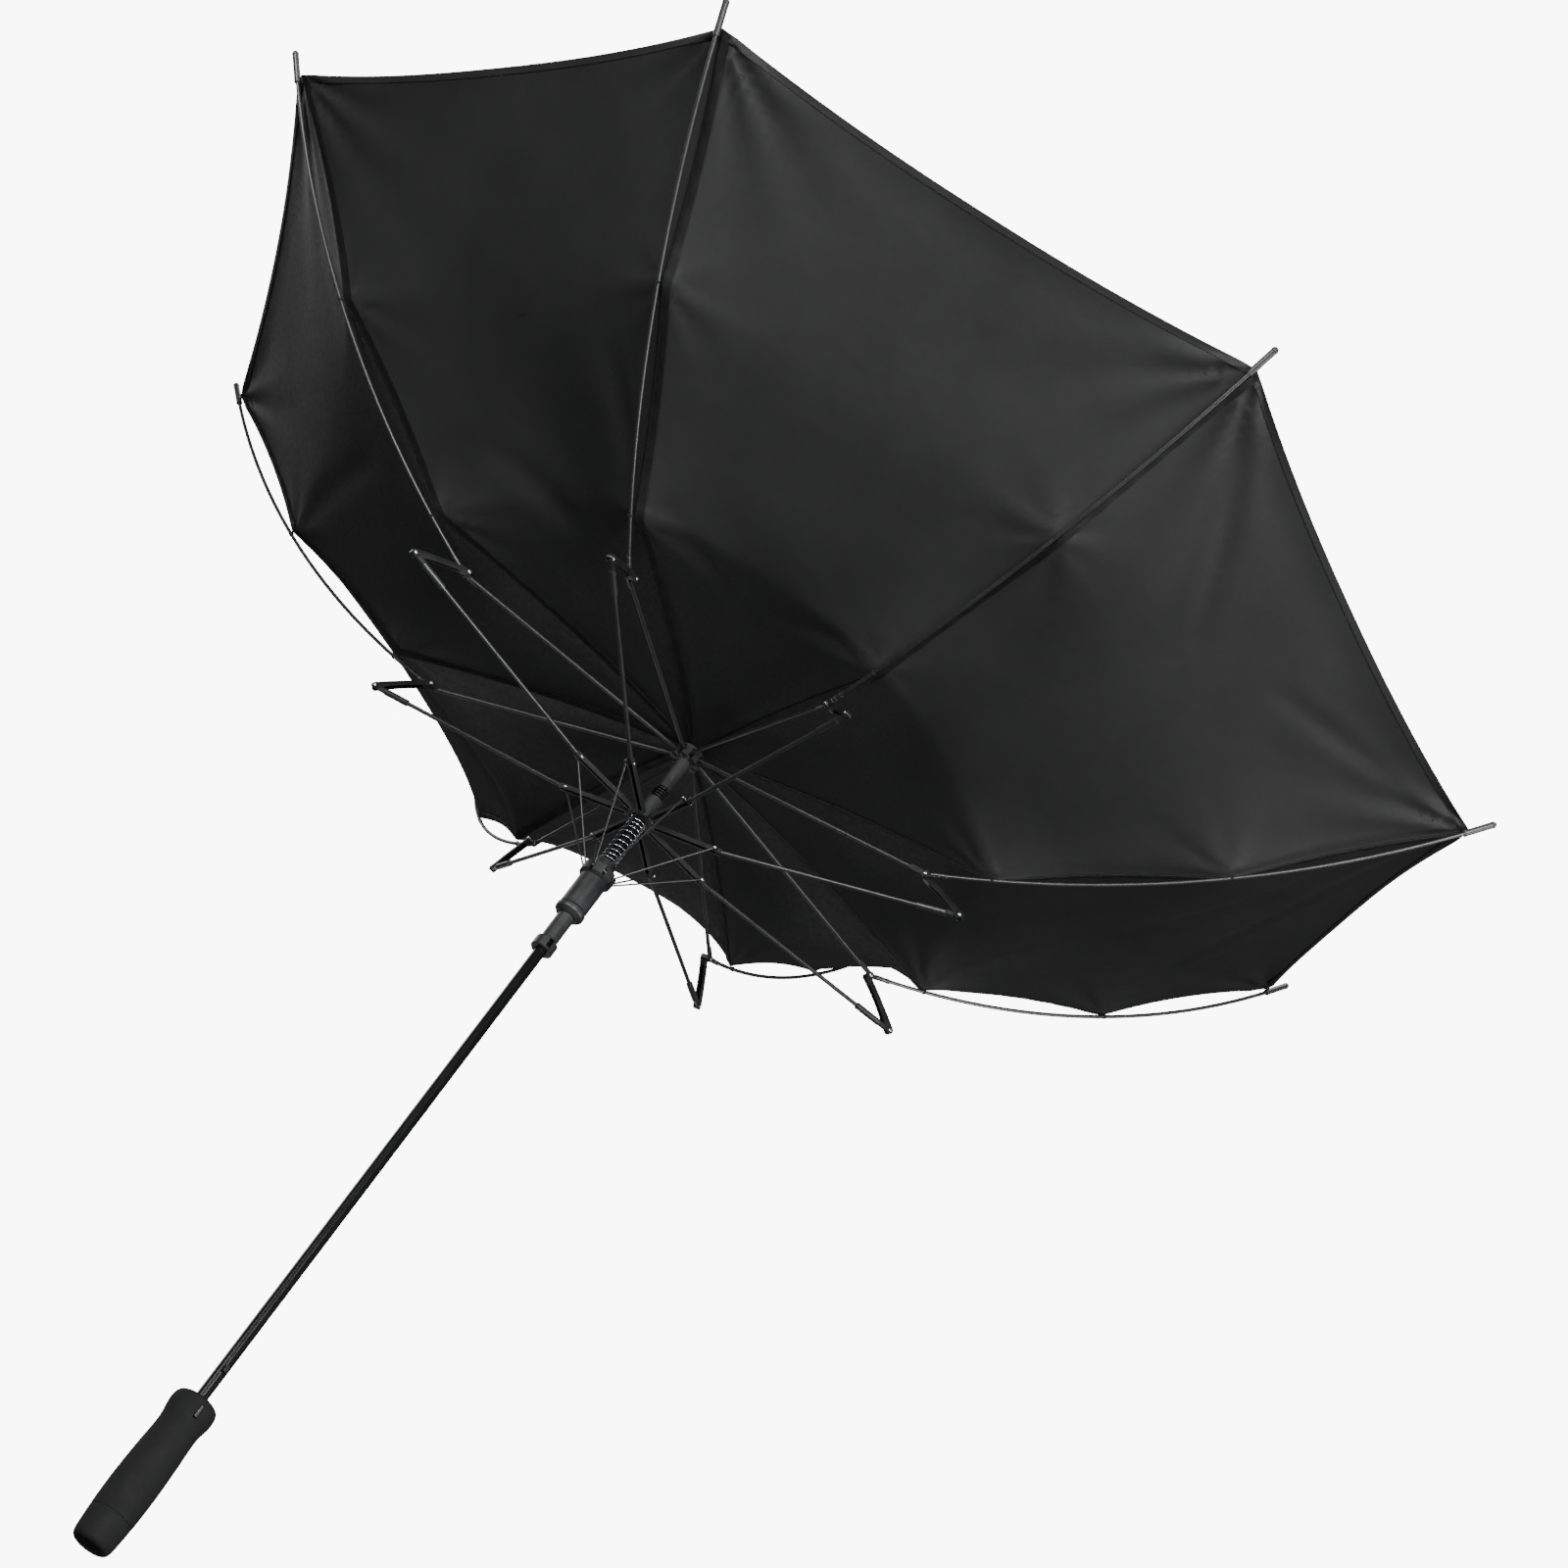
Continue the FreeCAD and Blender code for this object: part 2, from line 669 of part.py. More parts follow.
def stretcher(k, azimuth):
    """One stretcher: a channel from the hub to the wire's rivet, then a rod, a socket and a tongue."""
    side = size("arm_side")
    rise = size("arm_rod_rise")
    channel_start = along(HUB_PIVOT, 0, 2.0)
    hollow_start = along(HUB_PIVOT, 0, 4.5)
    hollow_width = "arm_width - 2 * arm_wall"
    wall = size("arm_wall")
    channel = bar(f"channel_{k}", channel_start, 0, side, "arm_reach + 4", "arm_width", "arm_depth")
    hollow = bar(f"hollow_{k}", hollow_start, 0, side, "arm_reach + 4", hollow_width, "arm_depth", wall)
    socket_start = along(LINK_FOOT, rise, -13.0 - size("socket_length"))
    tongue_start = along(LINK_FOOT, rise, -size("arm_tongue_length"))
    forms = [
        across(f"hub_eye_{k}", HUB_PIVOT, side, "arm_width", "eye_dia * 0.75"),
        cut(f"channel_cut_{k}", channel, hollow),
        rod(f"arm_rod_{k}", WIRE_HEAD, rise, side, "arm_rod_length - 14", "arm_rod_dia"),
        across(f"arm_rivet_{k}", WIRE_HEAD, side, "arm_width + 0.8", "joint_pin_dia"),
        rod(f"arm_socket_{k}", socket_start, rise, side, "socket_length", "socket_dia"),
        bar(f"arm_tongue_{k}", tongue_start, rise, side, "arm_tongue_length", "arm_tongue_thick", "4"),
        across(f"arm_eye_{k}", LINK_FOOT, side, "arm_tongue_thick", "arm_eye_dia"),
    ]
    holes = [
        across(f"hub_eye_hole_{k}", HUB_PIVOT, side, "10", PIN_HOLE),
        across(f"arm_eye_hole_{k}", LINK_FOOT, side, "10", JOINT_HOLE),
    ]
    arm = cut(f"arm_cut_{k}", fuse(f"arm_joined_{k}", forms), fuse(f"arm_holes_{k}", holes))
    piece(f"stretcher_{k}", arm, azimuth)


def link(k, azimuth):
    """One forked link, open towards the stretcher, with the pin in its foot."""
    side = size("arm_side")
    wall = size("link_wall")
    run = str(LINK_LENGTH)
    far = str(LINK_LENGTH - 3.0)
    solid_forms = [
        bar(f"link_bar_{k}", LINK_FOOT, LINK_ANGLE, side, run, "link_width", "link_head_dia"),
        across(f"link_foot_{k}", LINK_FOOT, side, "link_width", "link_foot_dia"),
        across(f"link_head_{k}", RIB_JOINT, side, "link_width", "link_head_dia"),
    ]
    start = along(LINK_FOOT, LINK_ANGLE, -5.0)
    hollow_width = "link_width - 2 * link_wall"
    hollows = [
        bar(f"link_hollow_{k}", start, LINK_ANGLE, side, far, hollow_width, "link_foot_dia", -wall - 0.8),
        bar(f"link_mouth_{k}", start, LINK_ANGLE, side, "8", hollow_width, "link_foot_dia + 2"),
        across(f"link_head_hole_{k}", RIB_JOINT, side, "10", "joint_pin_dia + 0.4"),
    ]
    whole = fuse(f"link_joined_{k}", solid_forms)
    forked = cut(f"link_forked_{k}", whole, fuse(f"link_hollows_{k}", hollows))
    pin = across(f"link_pin_{k}", LINK_FOOT, side, "link_width", "joint_pin_dia")
    piece(f"link_{k}", fuse(f"link_pinned_{k}", [forked, pin]), azimuth)


def wire(k, azimuth):
    """One steel wire from the runner to the stretcher, with an eye at each end."""
    side = size("wire_side")
    start = along(WIRE_ANCHOR, WIRE_ANGLE, 1.5)
    run = str(WIRE_LENGTH - 3.2)
    forms = [
        across(f"wire_foot_{k}", WIRE_ANCHOR, side, "wire_dia - 0.2", "wire_eye_dia"),
        rod(f"wire_rod_{k}", start, WIRE_ANGLE, side, run, "wire_dia"),
        across(f"wire_head_{k}", WIRE_HEAD, side, "wire_dia - 0.2", "wire_eye_dia"),
    ]
    holes = [
        across(f"wire_foot_hole_{k}", WIRE_ANCHOR, side, "5", PIN_HOLE),
        across(f"wire_head_hole_{k}", WIRE_HEAD, side, "5", "joint_pin_dia + 0.6"),
    ]
    bent = cut(f"wire_cut_{k}", fuse(f"wire_joined_{k}", forms), fuse(f"wire_holes_{k}", holes))
    piece(f"wire_{k}", bent, azimuth)


def seam(lift, off):
    """The cloth's line above one rib, as points of the radial plane, off by a distance from its rods."""
    rise = size("outer_rise") + lift
    middle = along(RIB_JOINT, rise, size("outer_span") / 2)
    centre = along(middle, rise + 90, BOW_RADIUS - size("outer_bow"))
    line = [Vector(size("cloth_hole_dia") / 2, 0, size("cloth_level") + off)]
    for place, radius in (("tie_inner", "outer_dia"), ("tie_outer", "outer_dia"), ("tie_hem", "cap_dia")):
        chord = size(place) - size("outer_span") / 2
        angle = rise - 90 + math.degrees(math.asin(chord / BOW_RADIUS))
        reach = BOW_RADIUS - size(radius) / 2 - size("cloth_gap") - off
        line.append(along(centre, angle, reach))
    return line


def canopy():
    """The cloth: eight panels, flat between the ribs, as one closed skin of even thickness."""
    lines = []
    for n in range(RIBS):
        lift = lift_of(n + 1)
        turn = Rotation(Z_AXIS, n * STEP_ANGLE)
        under, over = seam(lift, 0.0), seam(lift, size("cloth_thick"))
        lines.append([[turn.multVec(p) for p in skin] for skin in (under, over)])
    faces = []
    for n in range(RIBS):
        here, there = lines[n], lines[(n + 1) % RIBS]
        last = len(here[0]) - 1
        for skin in (0, 1):
            for m in range(last):
                faces += quad(here[skin][m], here[skin][m + 1], there[skin][m + 1], there[skin][m])
        for m in (0, last):
            faces += quad(here[0][m], here[1][m], there[1][m], there[0][m])
    skin = Part.Solid(Part.Shell(faces))
    if skin.Volume < 0:
        skin.reverse()
    cloth = doc.addObject("Part::Feature", "cloth")
    cloth.Shape = skin
    cloth.Placement = Placement()
    piece("canopy", cloth)


def quad(a, b, c, d):
    """Two triangles that fill a four-sided loop."""
    return [Part.Face(Part.makePolygon([a, b, c, a])), Part.Face(Part.makePolygon([a, c, d, a]))]


def check(things):
    """Stops on any object that failed to build and on any empty or invalid shape."""
    failed = [t.Name for t in doc.Objects if "Invalid" in t.State or "Error" in t.State]
    if failed:
        raise RuntimeError(f"objects in error: {failed}")
    for thing in things:
        if thing.Shape.isNull() or not thing.Shape.isValid() or thing.Shape.Volume <= 0:
            raise RuntimeError(f"bad shape: {thing.Label}")


handle()
shaft()
latch()
crown()
hub()
runner()
spring_foot = size("runner_top") + size("spring_wire") / 2
spring_head = size("hub_foot") - size("spring_wire") / 2
piece("main_spring", coil("main_coil", "spring_dia", "spring_turns", spring_foot, spring_head))
for number in range(1, RIBS + 1):
    place = (number - 1) * STEP_ANGLE
    inner_rib(number, place)
    outer_rib(number, place, lift_of(number))
    stretcher(number, place)
    link(number, place)
    wire(number, place)
canopy()

doc.recompute()
check(pieces)
os.makedirs("parts", exist_ok=True)
for thing in pieces:
    thing.Shape.exportStep(f"parts/{thing.Label}.step")
print(f"{len(pieces)} parts written")
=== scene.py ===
"""The look of a golf umbrella that the wind has turned inside out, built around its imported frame.

Everything is in metres in the umbrella's frame: +Z up the shaft, with the handle's end at the origin. A rib
set is drawn in its own radial plane, as distance from the shaft and height, and turned to its azimuth.
"""

import json
import math

import bmesh
import bpy
import numpy as np
from mathutils import Matrix, Vector


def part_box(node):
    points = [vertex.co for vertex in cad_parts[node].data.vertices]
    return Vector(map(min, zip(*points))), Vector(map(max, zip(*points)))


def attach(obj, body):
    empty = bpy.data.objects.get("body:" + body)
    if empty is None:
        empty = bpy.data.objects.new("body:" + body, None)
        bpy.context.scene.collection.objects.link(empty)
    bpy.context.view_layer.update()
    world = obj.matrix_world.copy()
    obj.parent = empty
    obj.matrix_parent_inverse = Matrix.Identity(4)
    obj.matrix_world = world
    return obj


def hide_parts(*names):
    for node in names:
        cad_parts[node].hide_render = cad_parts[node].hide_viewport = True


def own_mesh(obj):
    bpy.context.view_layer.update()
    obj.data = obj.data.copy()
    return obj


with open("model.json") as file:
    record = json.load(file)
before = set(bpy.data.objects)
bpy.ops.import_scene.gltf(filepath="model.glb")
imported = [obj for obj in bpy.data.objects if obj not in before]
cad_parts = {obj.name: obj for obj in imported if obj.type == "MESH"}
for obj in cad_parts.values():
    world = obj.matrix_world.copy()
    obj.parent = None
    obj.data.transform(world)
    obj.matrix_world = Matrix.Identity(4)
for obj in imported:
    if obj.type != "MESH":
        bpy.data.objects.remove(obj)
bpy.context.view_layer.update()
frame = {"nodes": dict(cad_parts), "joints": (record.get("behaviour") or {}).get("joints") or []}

RIB_COUNT = 8
RIBS = range(1, RIB_COUNT + 1)
STEP = 2 * math.pi / RIB_COUNT
JOINTS = {joint["name"]: joint for joint in frame["joints"]}

# The ribs and stretchers, as in the frame. Two outer ribs stand steeper than the rest.
OUTER_SPAN = 0.5071
OUTER_BOW = 0.036
OUTER_RISE = math.radians(31.9)
LIFTS = {1: math.radians(10.4), 2: math.radians(13.0)}
ROD_RADIUS = 0.0018
CAP_RADIUS = 0.0030
CAP_LENGTH = 0.031
RIB_SIDE = -0.0023
ARM_SIDE = 0.0036
ARM_REACH = 0.070
BOW_RADIUS = (OUTER_SPAN ** 2 / 4 + OUTER_BOW ** 2) / (2 * OUTER_BOW)

# The cloth, with the places along a rib's chord where it is tied, and the hem.
CLOTH_GAP = 0.0005
CLOTH_THICK = 0.0005
HOLE_RADIUS = 0.0075
CLOTH_LEVEL = 0.9316
TIES = (0.0588, 0.270)
HEM_PLACE = 0.484
TIE_SAG = 0.0125
TIE_SPREAD = 0.045
HEM_FOLD = 0.007
HEM_THICK = 0.0007
# How far the hem curves in between two ribs, and how far up the panel that pull is felt.
HEM_HOLLOW, HEM_PULL = 0.013, 0.30
HALF_COLUMNS = 26


# ---------------------------------------------------------------- places

def planar(joint_name):
    """A joint's place in its rib's radial plane: distance from the shaft and height."""
    x, y, z = JOINTS[joint_name]["pos_m"]
    return np.array([math.hypot(x, y), z])


RIB_JOINT = planar("outer_rib_2_fold")
HUB_PIVOT = planar("stretcher_2_fold")
LINK_FOOT = planar("link_2_fold")
WIRE_HEAD = HUB_PIVOT + (ARM_REACH, 0.0)


def next_rib(k):
    return k % RIB_COUNT + 1


def rib_before(k):
    return (k - 2) % RIB_COUNT + 1


def azimuth(k):
    return (k - 1) * STEP


def placed(k, x, z, side=0.0):
    """A point of rib k's radial plane in the umbrella's frame, moved sideways off the plane."""
    a = azimuth(k)
    return Vector((x * math.cos(a) - side * math.sin(a), x * math.sin(a) + side * math.cos(a), z))


def sideways(k):
    """The direction at right angles to rib k's radial plane."""
    a = azimuth(k)
    return Vector((-math.sin(a), math.cos(a), 0.0))


def heading(angle):
    """A unit step in a radial plane, at an angle above level."""
    return np.array([math.cos(angle), math.sin(angle)])


def rise_of(k):
    return OUTER_RISE + LIFTS.get(k, 0.0)


def bow_centre(k):
    """The middle of the circle that outer rib k's rod follows."""
    rise = rise_of(k)
    middle = RIB_JOINT + heading(rise) * OUTER_SPAN / 2
    return middle + heading(rise + math.pi / 2) * (BOW_RADIUS - OUTER_BOW)


def bow_angle(k, place):
    """The direction from the bow's centre to a place measured along its chord."""
    return rise_of(k) - math.pi / 2 + math.asin((place - OUTER_SPAN / 2) / BOW_RADIUS)


def on_bow(k, place, off=0.0):
    """A point of the outer rib's centre line, or off it towards the cloth."""
    return bow_centre(k) + heading(bow_angle(k, place)) * (BOW_RADIUS - off)


# ---------------------------------------------------------------- materials

def shader(name, color, roughness, metallic=0.0, specular=0.5, coat=0.0):
    """A Principled material with its constant values on the shader's own sockets."""
    material = bpy.data.materials.new(name)
    material.use_nodes = True
    bsdf = material.node_tree.nodes["Principled BSDF"]
    bsdf.inputs["Base Color"].default_value = (*color, 1.0)
    bsdf.inputs["Roughness"].default_value = roughness
    bsdf.inputs["Metallic"].default_value = metallic
    bsdf.inputs["Specular IOR Level"].default_value = specular
    bsdf.inputs["Coat Weight"].default_value = coat
    return material, material.node_tree, bsdf


NOISE_LOW, NOISE_HIGH = 0.3, 0.7


def noise(tree, scale, detail=4.0, stretch=(1, 1, 1)):
    """Noise in the object's own metres, stretched along the axes where asked."""
    coords = tree.nodes.new("ShaderNodeTexCoord")
    mapping = tree.nodes.new("ShaderNodeMapping")
    mapping.inputs["Scale"].default_value = stretch
    texture = tree.nodes.new("ShaderNodeTexNoise")
    texture.inputs["Scale"].default_value = scale
    texture.inputs["Detail"].default_value = detail
    texture.inputs["Roughness"].default_value = 0.55
    tree.links.new(coords.outputs["Object"], mapping.inputs["Vector"])
    tree.links.new(mapping.outputs["Vector"], texture.inputs["Vector"])
    return texture.outputs["Fac"]


def spread(tree, value, low, high):
    """A noise value mapped to a range of numbers."""
    node = tree.nodes.new("ShaderNodeMapRange")
    node.inputs["From Min"].default_value = NOISE_LOW
    node.inputs["From Max"].default_value = NOISE_HIGH
    node.inputs["To Min"].default_value = low
    node.inputs["To Max"].default_value = high
    tree.links.new(value, node.inputs["Value"])
    return node.outputs["Result"]


def shades(tree, value, dark, light):
    """A noise value mapped to a range between two colours."""
    ramp = tree.nodes.new("ShaderNodeValToRGB")
    ramp.color_ramp.elements[0].position = NOISE_LOW
    ramp.color_ramp.elements[0].color = (*dark, 1.0)
    ramp.color_ramp.elements[1].position = NOISE_HIGH
    ramp.color_ramp.elements[1].color = (*light, 1.0)
    tree.links.new(value, ramp.inputs["Fac"])
    return ramp.outputs["Color"]


def bumped(tree, bsdf, layers):
    """Bump from several heights, each with its strength and depth in metres."""
    normal = None
    for value, strength, depth in layers:
        bump = tree.nodes.new("ShaderNodeBump")
        bump.inputs["Strength"].default_value = strength
        bump.inputs["Distance"].default_value = depth
        tree.links.new(value, bump.inputs["Height"])
        if normal is not None:
            tree.links.new(normal, bump.inputs["Normal"])
        normal = bump.outputs["Normal"]
    tree.links.new(normal, bsdf.inputs["Normal"])


def moulded(name, dark, light, roughness, grain=900.0, depth=0.00006, specular=0.45, coat=0.0):
    """Moulded plastic or rubber: fine grain, a little mottling and uneven gloss."""
    material, tree, bsdf = shader(name, light, roughness, specular=specular, coat=coat)
    patches = noise(tree, 55.0, 5.0)
    fine = noise(tree, grain, 3.0)
    tree.links.new(shades(tree, patches, dark, light), bsdf.inputs["Base Color"])
    tree.links.new(spread(tree, patches, roughness * 0.85, roughness * 1.15), bsdf.inputs["Roughness"])
    bumped(tree, bsdf, [(fine, 0.5, depth), (noise(tree, 120.0, 2.0), 0.25, 0.0002)])
    return material


def drawn(name, dark, light, roughness, metallic, stretch, specular=0.5, coat=0.0):
    """Metal or fibre drawn along one way, with faint streaks in that way."""
    material, tree, bsdf = shader(name, light, roughness, metallic, specular, coat)
    streaks = noise(tree, 380.0, 4.0, stretch=stretch)
    worn = noise(tree, 35.0, 4.0)
    tree.links.new(shades(tree, worn, dark, light), bsdf.inputs["Base Color"])
    tree.links.new(spread(tree, streaks, roughness * 0.9, roughness * 1.12), bsdf.inputs["Roughness"])
    bumped(tree, bsdf, [(streaks, 0.05, 0.00001)])
    return material


def woven(name, dark, light):
    """Pongee: a plain weave of fine yarns, faintly slubbed, with soft puckers."""
    material, tree, bsdf = shader(name, light, 0.58, specular=0.16)
    uv = tree.nodes.new("ShaderNodeTexCoord").outputs["UV"]
    yarns = []
    for way in ("X", "Y"):
        wave = tree.nodes.new("ShaderNodeTexWave")
        wave.wave_type = "BANDS"
        wave.bands_direction = way
        wave.inputs["Scale"].default_value = 520.0
        wave.inputs["Distortion"].default_value = 0.4
        wave.inputs["Detail"].default_value = 1.0
        tree.links.new(uv, wave.inputs["Vector"])
        yarns.append(wave.outputs["Fac"])
    weave = tree.nodes.new("ShaderNodeMath")
    weave.operation = "MULTIPLY"
    tree.links.new(yarns[0], weave.inputs[0])
    tree.links.new(yarns[1], weave.inputs[1])
    slubs = noise(tree, 240.0, 5.0, stretch=(1.0, 1.0, 0.35))
    patches = noise(tree, 9.0, 5.0)
    tree.links.new(shades(tree, patches, dark, light), bsdf.inputs["Base Color"])
    tree.links.new(spread(tree, slubs, 0.52, 0.64), bsdf.inputs["Roughness"])
    layers = [
        (noise(tree, 16.0, 3.0), 0.35, 0.0022),
        (noise(tree, 70.0, 4.0), 0.25, 0.0006),
        (slubs, 0.22, 0.00016),
        (weave.outputs["Value"], 0.20, 0.00010),
    ]
    bumped(tree, bsdf, layers)
    return material


PONGEE = woven("pongee", (0.0088, 0.0089, 0.0092), (0.0120, 0.0121, 0.0125))
# The seam allowance's cloth: the same pongee made several times darker, as painted shade along the ribs.
SEAM_CLOTH_PAINTED_SHADE = woven("seam_cloth_painted_shade", (0.0020, 0.0021, 0.0023), (0.0032, 0.0033, 0.0036))
LINK_PLASTIC = moulded("link_plastic", (0.0035, 0.0036, 0.0040), (0.0070, 0.0072, 0.0078), 0.34)
FOAM = moulded("grip_foam", (0.0028, 0.0029, 0.0032), (0.0052, 0.0053, 0.0057), 0.82, 1500.0, 0.00022, 0.16)
PLASTIC = moulded("black_plastic", (0.0050, 0.0052, 0.0056), (0.0085, 0.0088, 0.0094), 0.42)
CAP_PLASTIC = moulded("cap_plastic", (0.0060, 0.0062, 0.0066), (0.0105, 0.0108, 0.0114), 0.36)
UP_THE_SHAFT, UP_THE_WIRE = (1, 1, 0.05), (1, 1, 0.2)
ACROSS_THE_ARM, ALL_WAYS, COARSE = (0.2, 0.2, 1), (1, 1, 1), (0.2, 0.2, 0.2)
PAINT = drawn(
    "shaft_paint", (0.0016, 0.0017, 0.0019), (0.0028, 0.0029, 0.0032), 0.20, 0.0, UP_THE_SHAFT, 0.45
)
FIBRE = drawn(
    "rib_fibre", (0.0055, 0.0056, 0.0060), (0.0100, 0.0102, 0.0108), 0.42, 0.0, COARSE, 0.50, 0.1
)
ARM_PAINT = drawn(
    "arm_paint", (0.0080, 0.0082, 0.0088), (0.0140, 0.0143, 0.0150), 0.36, 0.0, ACROSS_THE_ARM
)
WIRE_PAINT = drawn(
    "wire_paint", (0.0060, 0.0062, 0.0066), (0.0100, 0.0102, 0.0108), 0.38, 0.0, UP_THE_WIRE
)
DARK_STEEL = drawn("dark_steel", (0.018, 0.018, 0.019), (0.045, 0.045, 0.047), 0.34, 1.0, ALL_WAYS)
SPRING_STEEL = drawn("spring_steel", (0.30, 0.31, 0.33), (0.52, 0.53, 0.56), 0.24, 1.0, ALL_WAYS)
PIN_STEEL = drawn("pin_steel", (0.34, 0.34, 0.36), (0.60, 0.60, 0.62), 0.30, 1.0, ALL_WAYS)
THREAD = moulded("thread", (0.0050, 0.0052, 0.0056), (0.0090, 0.0093, 0.0100), 0.80, 2500.0, 0.00015, 0.2)

CAD_FINISH = {
    "shaft": PAINT,
    "handle_grip": FOAM,
    "handle_end_cap": FOAM,
    "handle_core": PLASTIC,
    "push_button": PLASTIC,
    "catch_spring": SPRING_STEEL,
    "runner_catch": DARK_STEEL,
    "crown_notch": PLASTIC,
    "crown_pins": PIN_STEEL,
    "crown_washer": PLASTIC,
    "ferrule": PLASTIC,
    "crown_sleeve": PLASTIC,
    "bumper_spring": DARK_STEEL,
    "upper_hub": PLASTIC,
    "hub_pins": PIN_STEEL,
    "main_spring": SPRING_STEEL,
    "runner_body": PLASTIC,
    "runner_pins": PIN_STEEL,
    "runner_neck": PLASTIC,
    "canopy": PONGEE,
}
for k in RIBS:
    CAD_FINISH[f"inner_rib_{k}"] = FIBRE
    CAD_FINISH[f"outer_rib_{k}"] = FIBRE
    CAD_FINISH[f"stretcher_{k}"] = ARM_PAINT
    CAD_FINISH[f"link_{k}"] = PLASTIC
    CAD_FINISH[f"wire_{k}"] = WIRE_PAINT
for node, material in CAD_FINISH.items():
    mesh = frame["nodes"][node].data
    mesh.materials.clear()
    mesh.materials.append(material)


# ---------------------------------------------------------------- mesh making

def new_piece(name, points, faces, material, smooth=True):
    mesh = bpy.data.meshes.new(name)
    mesh.from_pydata([tuple(p) for p in points], [], faces)
    mesh.update()
    if smooth:
        mesh.polygons.foreach_set("use_smooth", [True] * len(mesh.polygons))
    mesh.materials.append(material)
    piece = bpy.data.objects.new(name, mesh)
    bpy.context.scene.collection.objects.link(piece)
    return piece


def grid_faces(rows, columns, start=0, flip=False):
    """Quads between the points of a grid stored row by row."""
    faces = []
    for r in range(rows - 1):
        for c in range(columns - 1):
            a = start + r * columns + c
            quad = (a, a + 1, a + 1 + columns, a + columns)
            faces.append(quad[::-1] if flip else quad)
    return faces


def shell_faces(rows, columns):
    """Faces of a closed shell between a grid of points and its copy on the other side."""
    count = rows * columns
    faces = grid_faces(rows, columns) + grid_faces(rows, columns, count, flip=True)
    rim = list(range(columns)) + [r * columns + columns - 1 for r in range(1, rows)]
    rim += [count - 1 - c for c in range(1, columns)] + [r * columns for r in range(rows - 2, 0, -1)]
    for n, a in enumerate(rim):
        b = rim[(n + 1) % len(rim)]
        faces.append((b, a, a + count, b + count))
    return faces


def loop_faces(loops, sides, closed=True):
    """Quads between loops of points stored one after another, with an end face at each end if closed."""
    faces = []
    for row in range(loops - 1):
        for n in range(sides):
            a, b = row * sides + n, row * sides + (n + 1) % sides
            faces.append((a, b, b + sides, a + sides))
    if closed:
        last = (loops - 1) * sides
        faces += [tuple(reversed(range(sides))), tuple(range(last, last + sides))]
    return faces


def tube(points, radius, sides):
    """Points and faces of a round tube along a path, closed at both ends."""
    path = [Vector(p) for p in points]
    verts = []
    across = (path[1] - path[0]).normalized().orthogonal()
    for n, point in enumerate(path):
        ahead = path[min(n + 1, len(path) - 1)] - path[max(n - 1, 0)]
        ahead.normalize()
        across = (across - ahead * across.dot(ahead)).normalized()
        third = ahead.cross(across)
        for m in range(sides):
            turn = 2 * math.pi * m / sides
            verts.append(point + (across * math.cos(turn) + third * math.sin(turn)) * radius)
    return verts, loop_faces(len(path), sides)


def joined(parts):
    """One list of points and faces from several."""
    verts, faces = [], []
    for part_verts, part_faces in parts:
        base = len(verts)
        verts += list(part_verts)
        faces += [tuple(base + i for i in face) for face in part_faces]
    return verts, faces


def sharp_by_angle(piece, degrees):
    """Smooth shading that keeps real edges sharp."""
    mesh = piece.data
    mesh.polygons.foreach_set("use_smooth", [True] * len(mesh.polygons))
    mesh.set_sharp_from_angle(angle=math.radians(degrees))


for node in frame["nodes"].values():
    sharp_by_angle(node, 28.0)


# ---------------------------------------------------------------- canopy

def arc_length(k, start, end):
    """The length of outer rib k's bow between two places along its chord."""
    return (bow_angle(k, end) - bow_angle(k, start)) * BOW_RADIUS


FIRST_TIE = float(np.linalg.norm(on_bow(2, TIES[0], ROD_RADIUS + CLOTH_GAP) - (HOLE_RADIUS, CLOTH_LEVEL)))
SECOND_TIE = FIRST_TIE + arc_length(2, *TIES)
SEAM_LENGTH = SECOND_TIE + arc_length(2, TIES[1], HEM_PLACE)
# Seams are worked out every millimetre, and beyond both ends, so that they can be evened out.
SAMPLE = 0.001
OVERRUN = 0.2
ROUNDING = 60
ALONG = np.arange(-OVERRUN, SEAM_LENGTH + OVERRUN, SAMPLE)


def smooth_step(value):
    """A soft step from 0 to 1."""
    value = np.clip(value, 0.0, 1.0)
    return value * value * (3 - 2 * value)


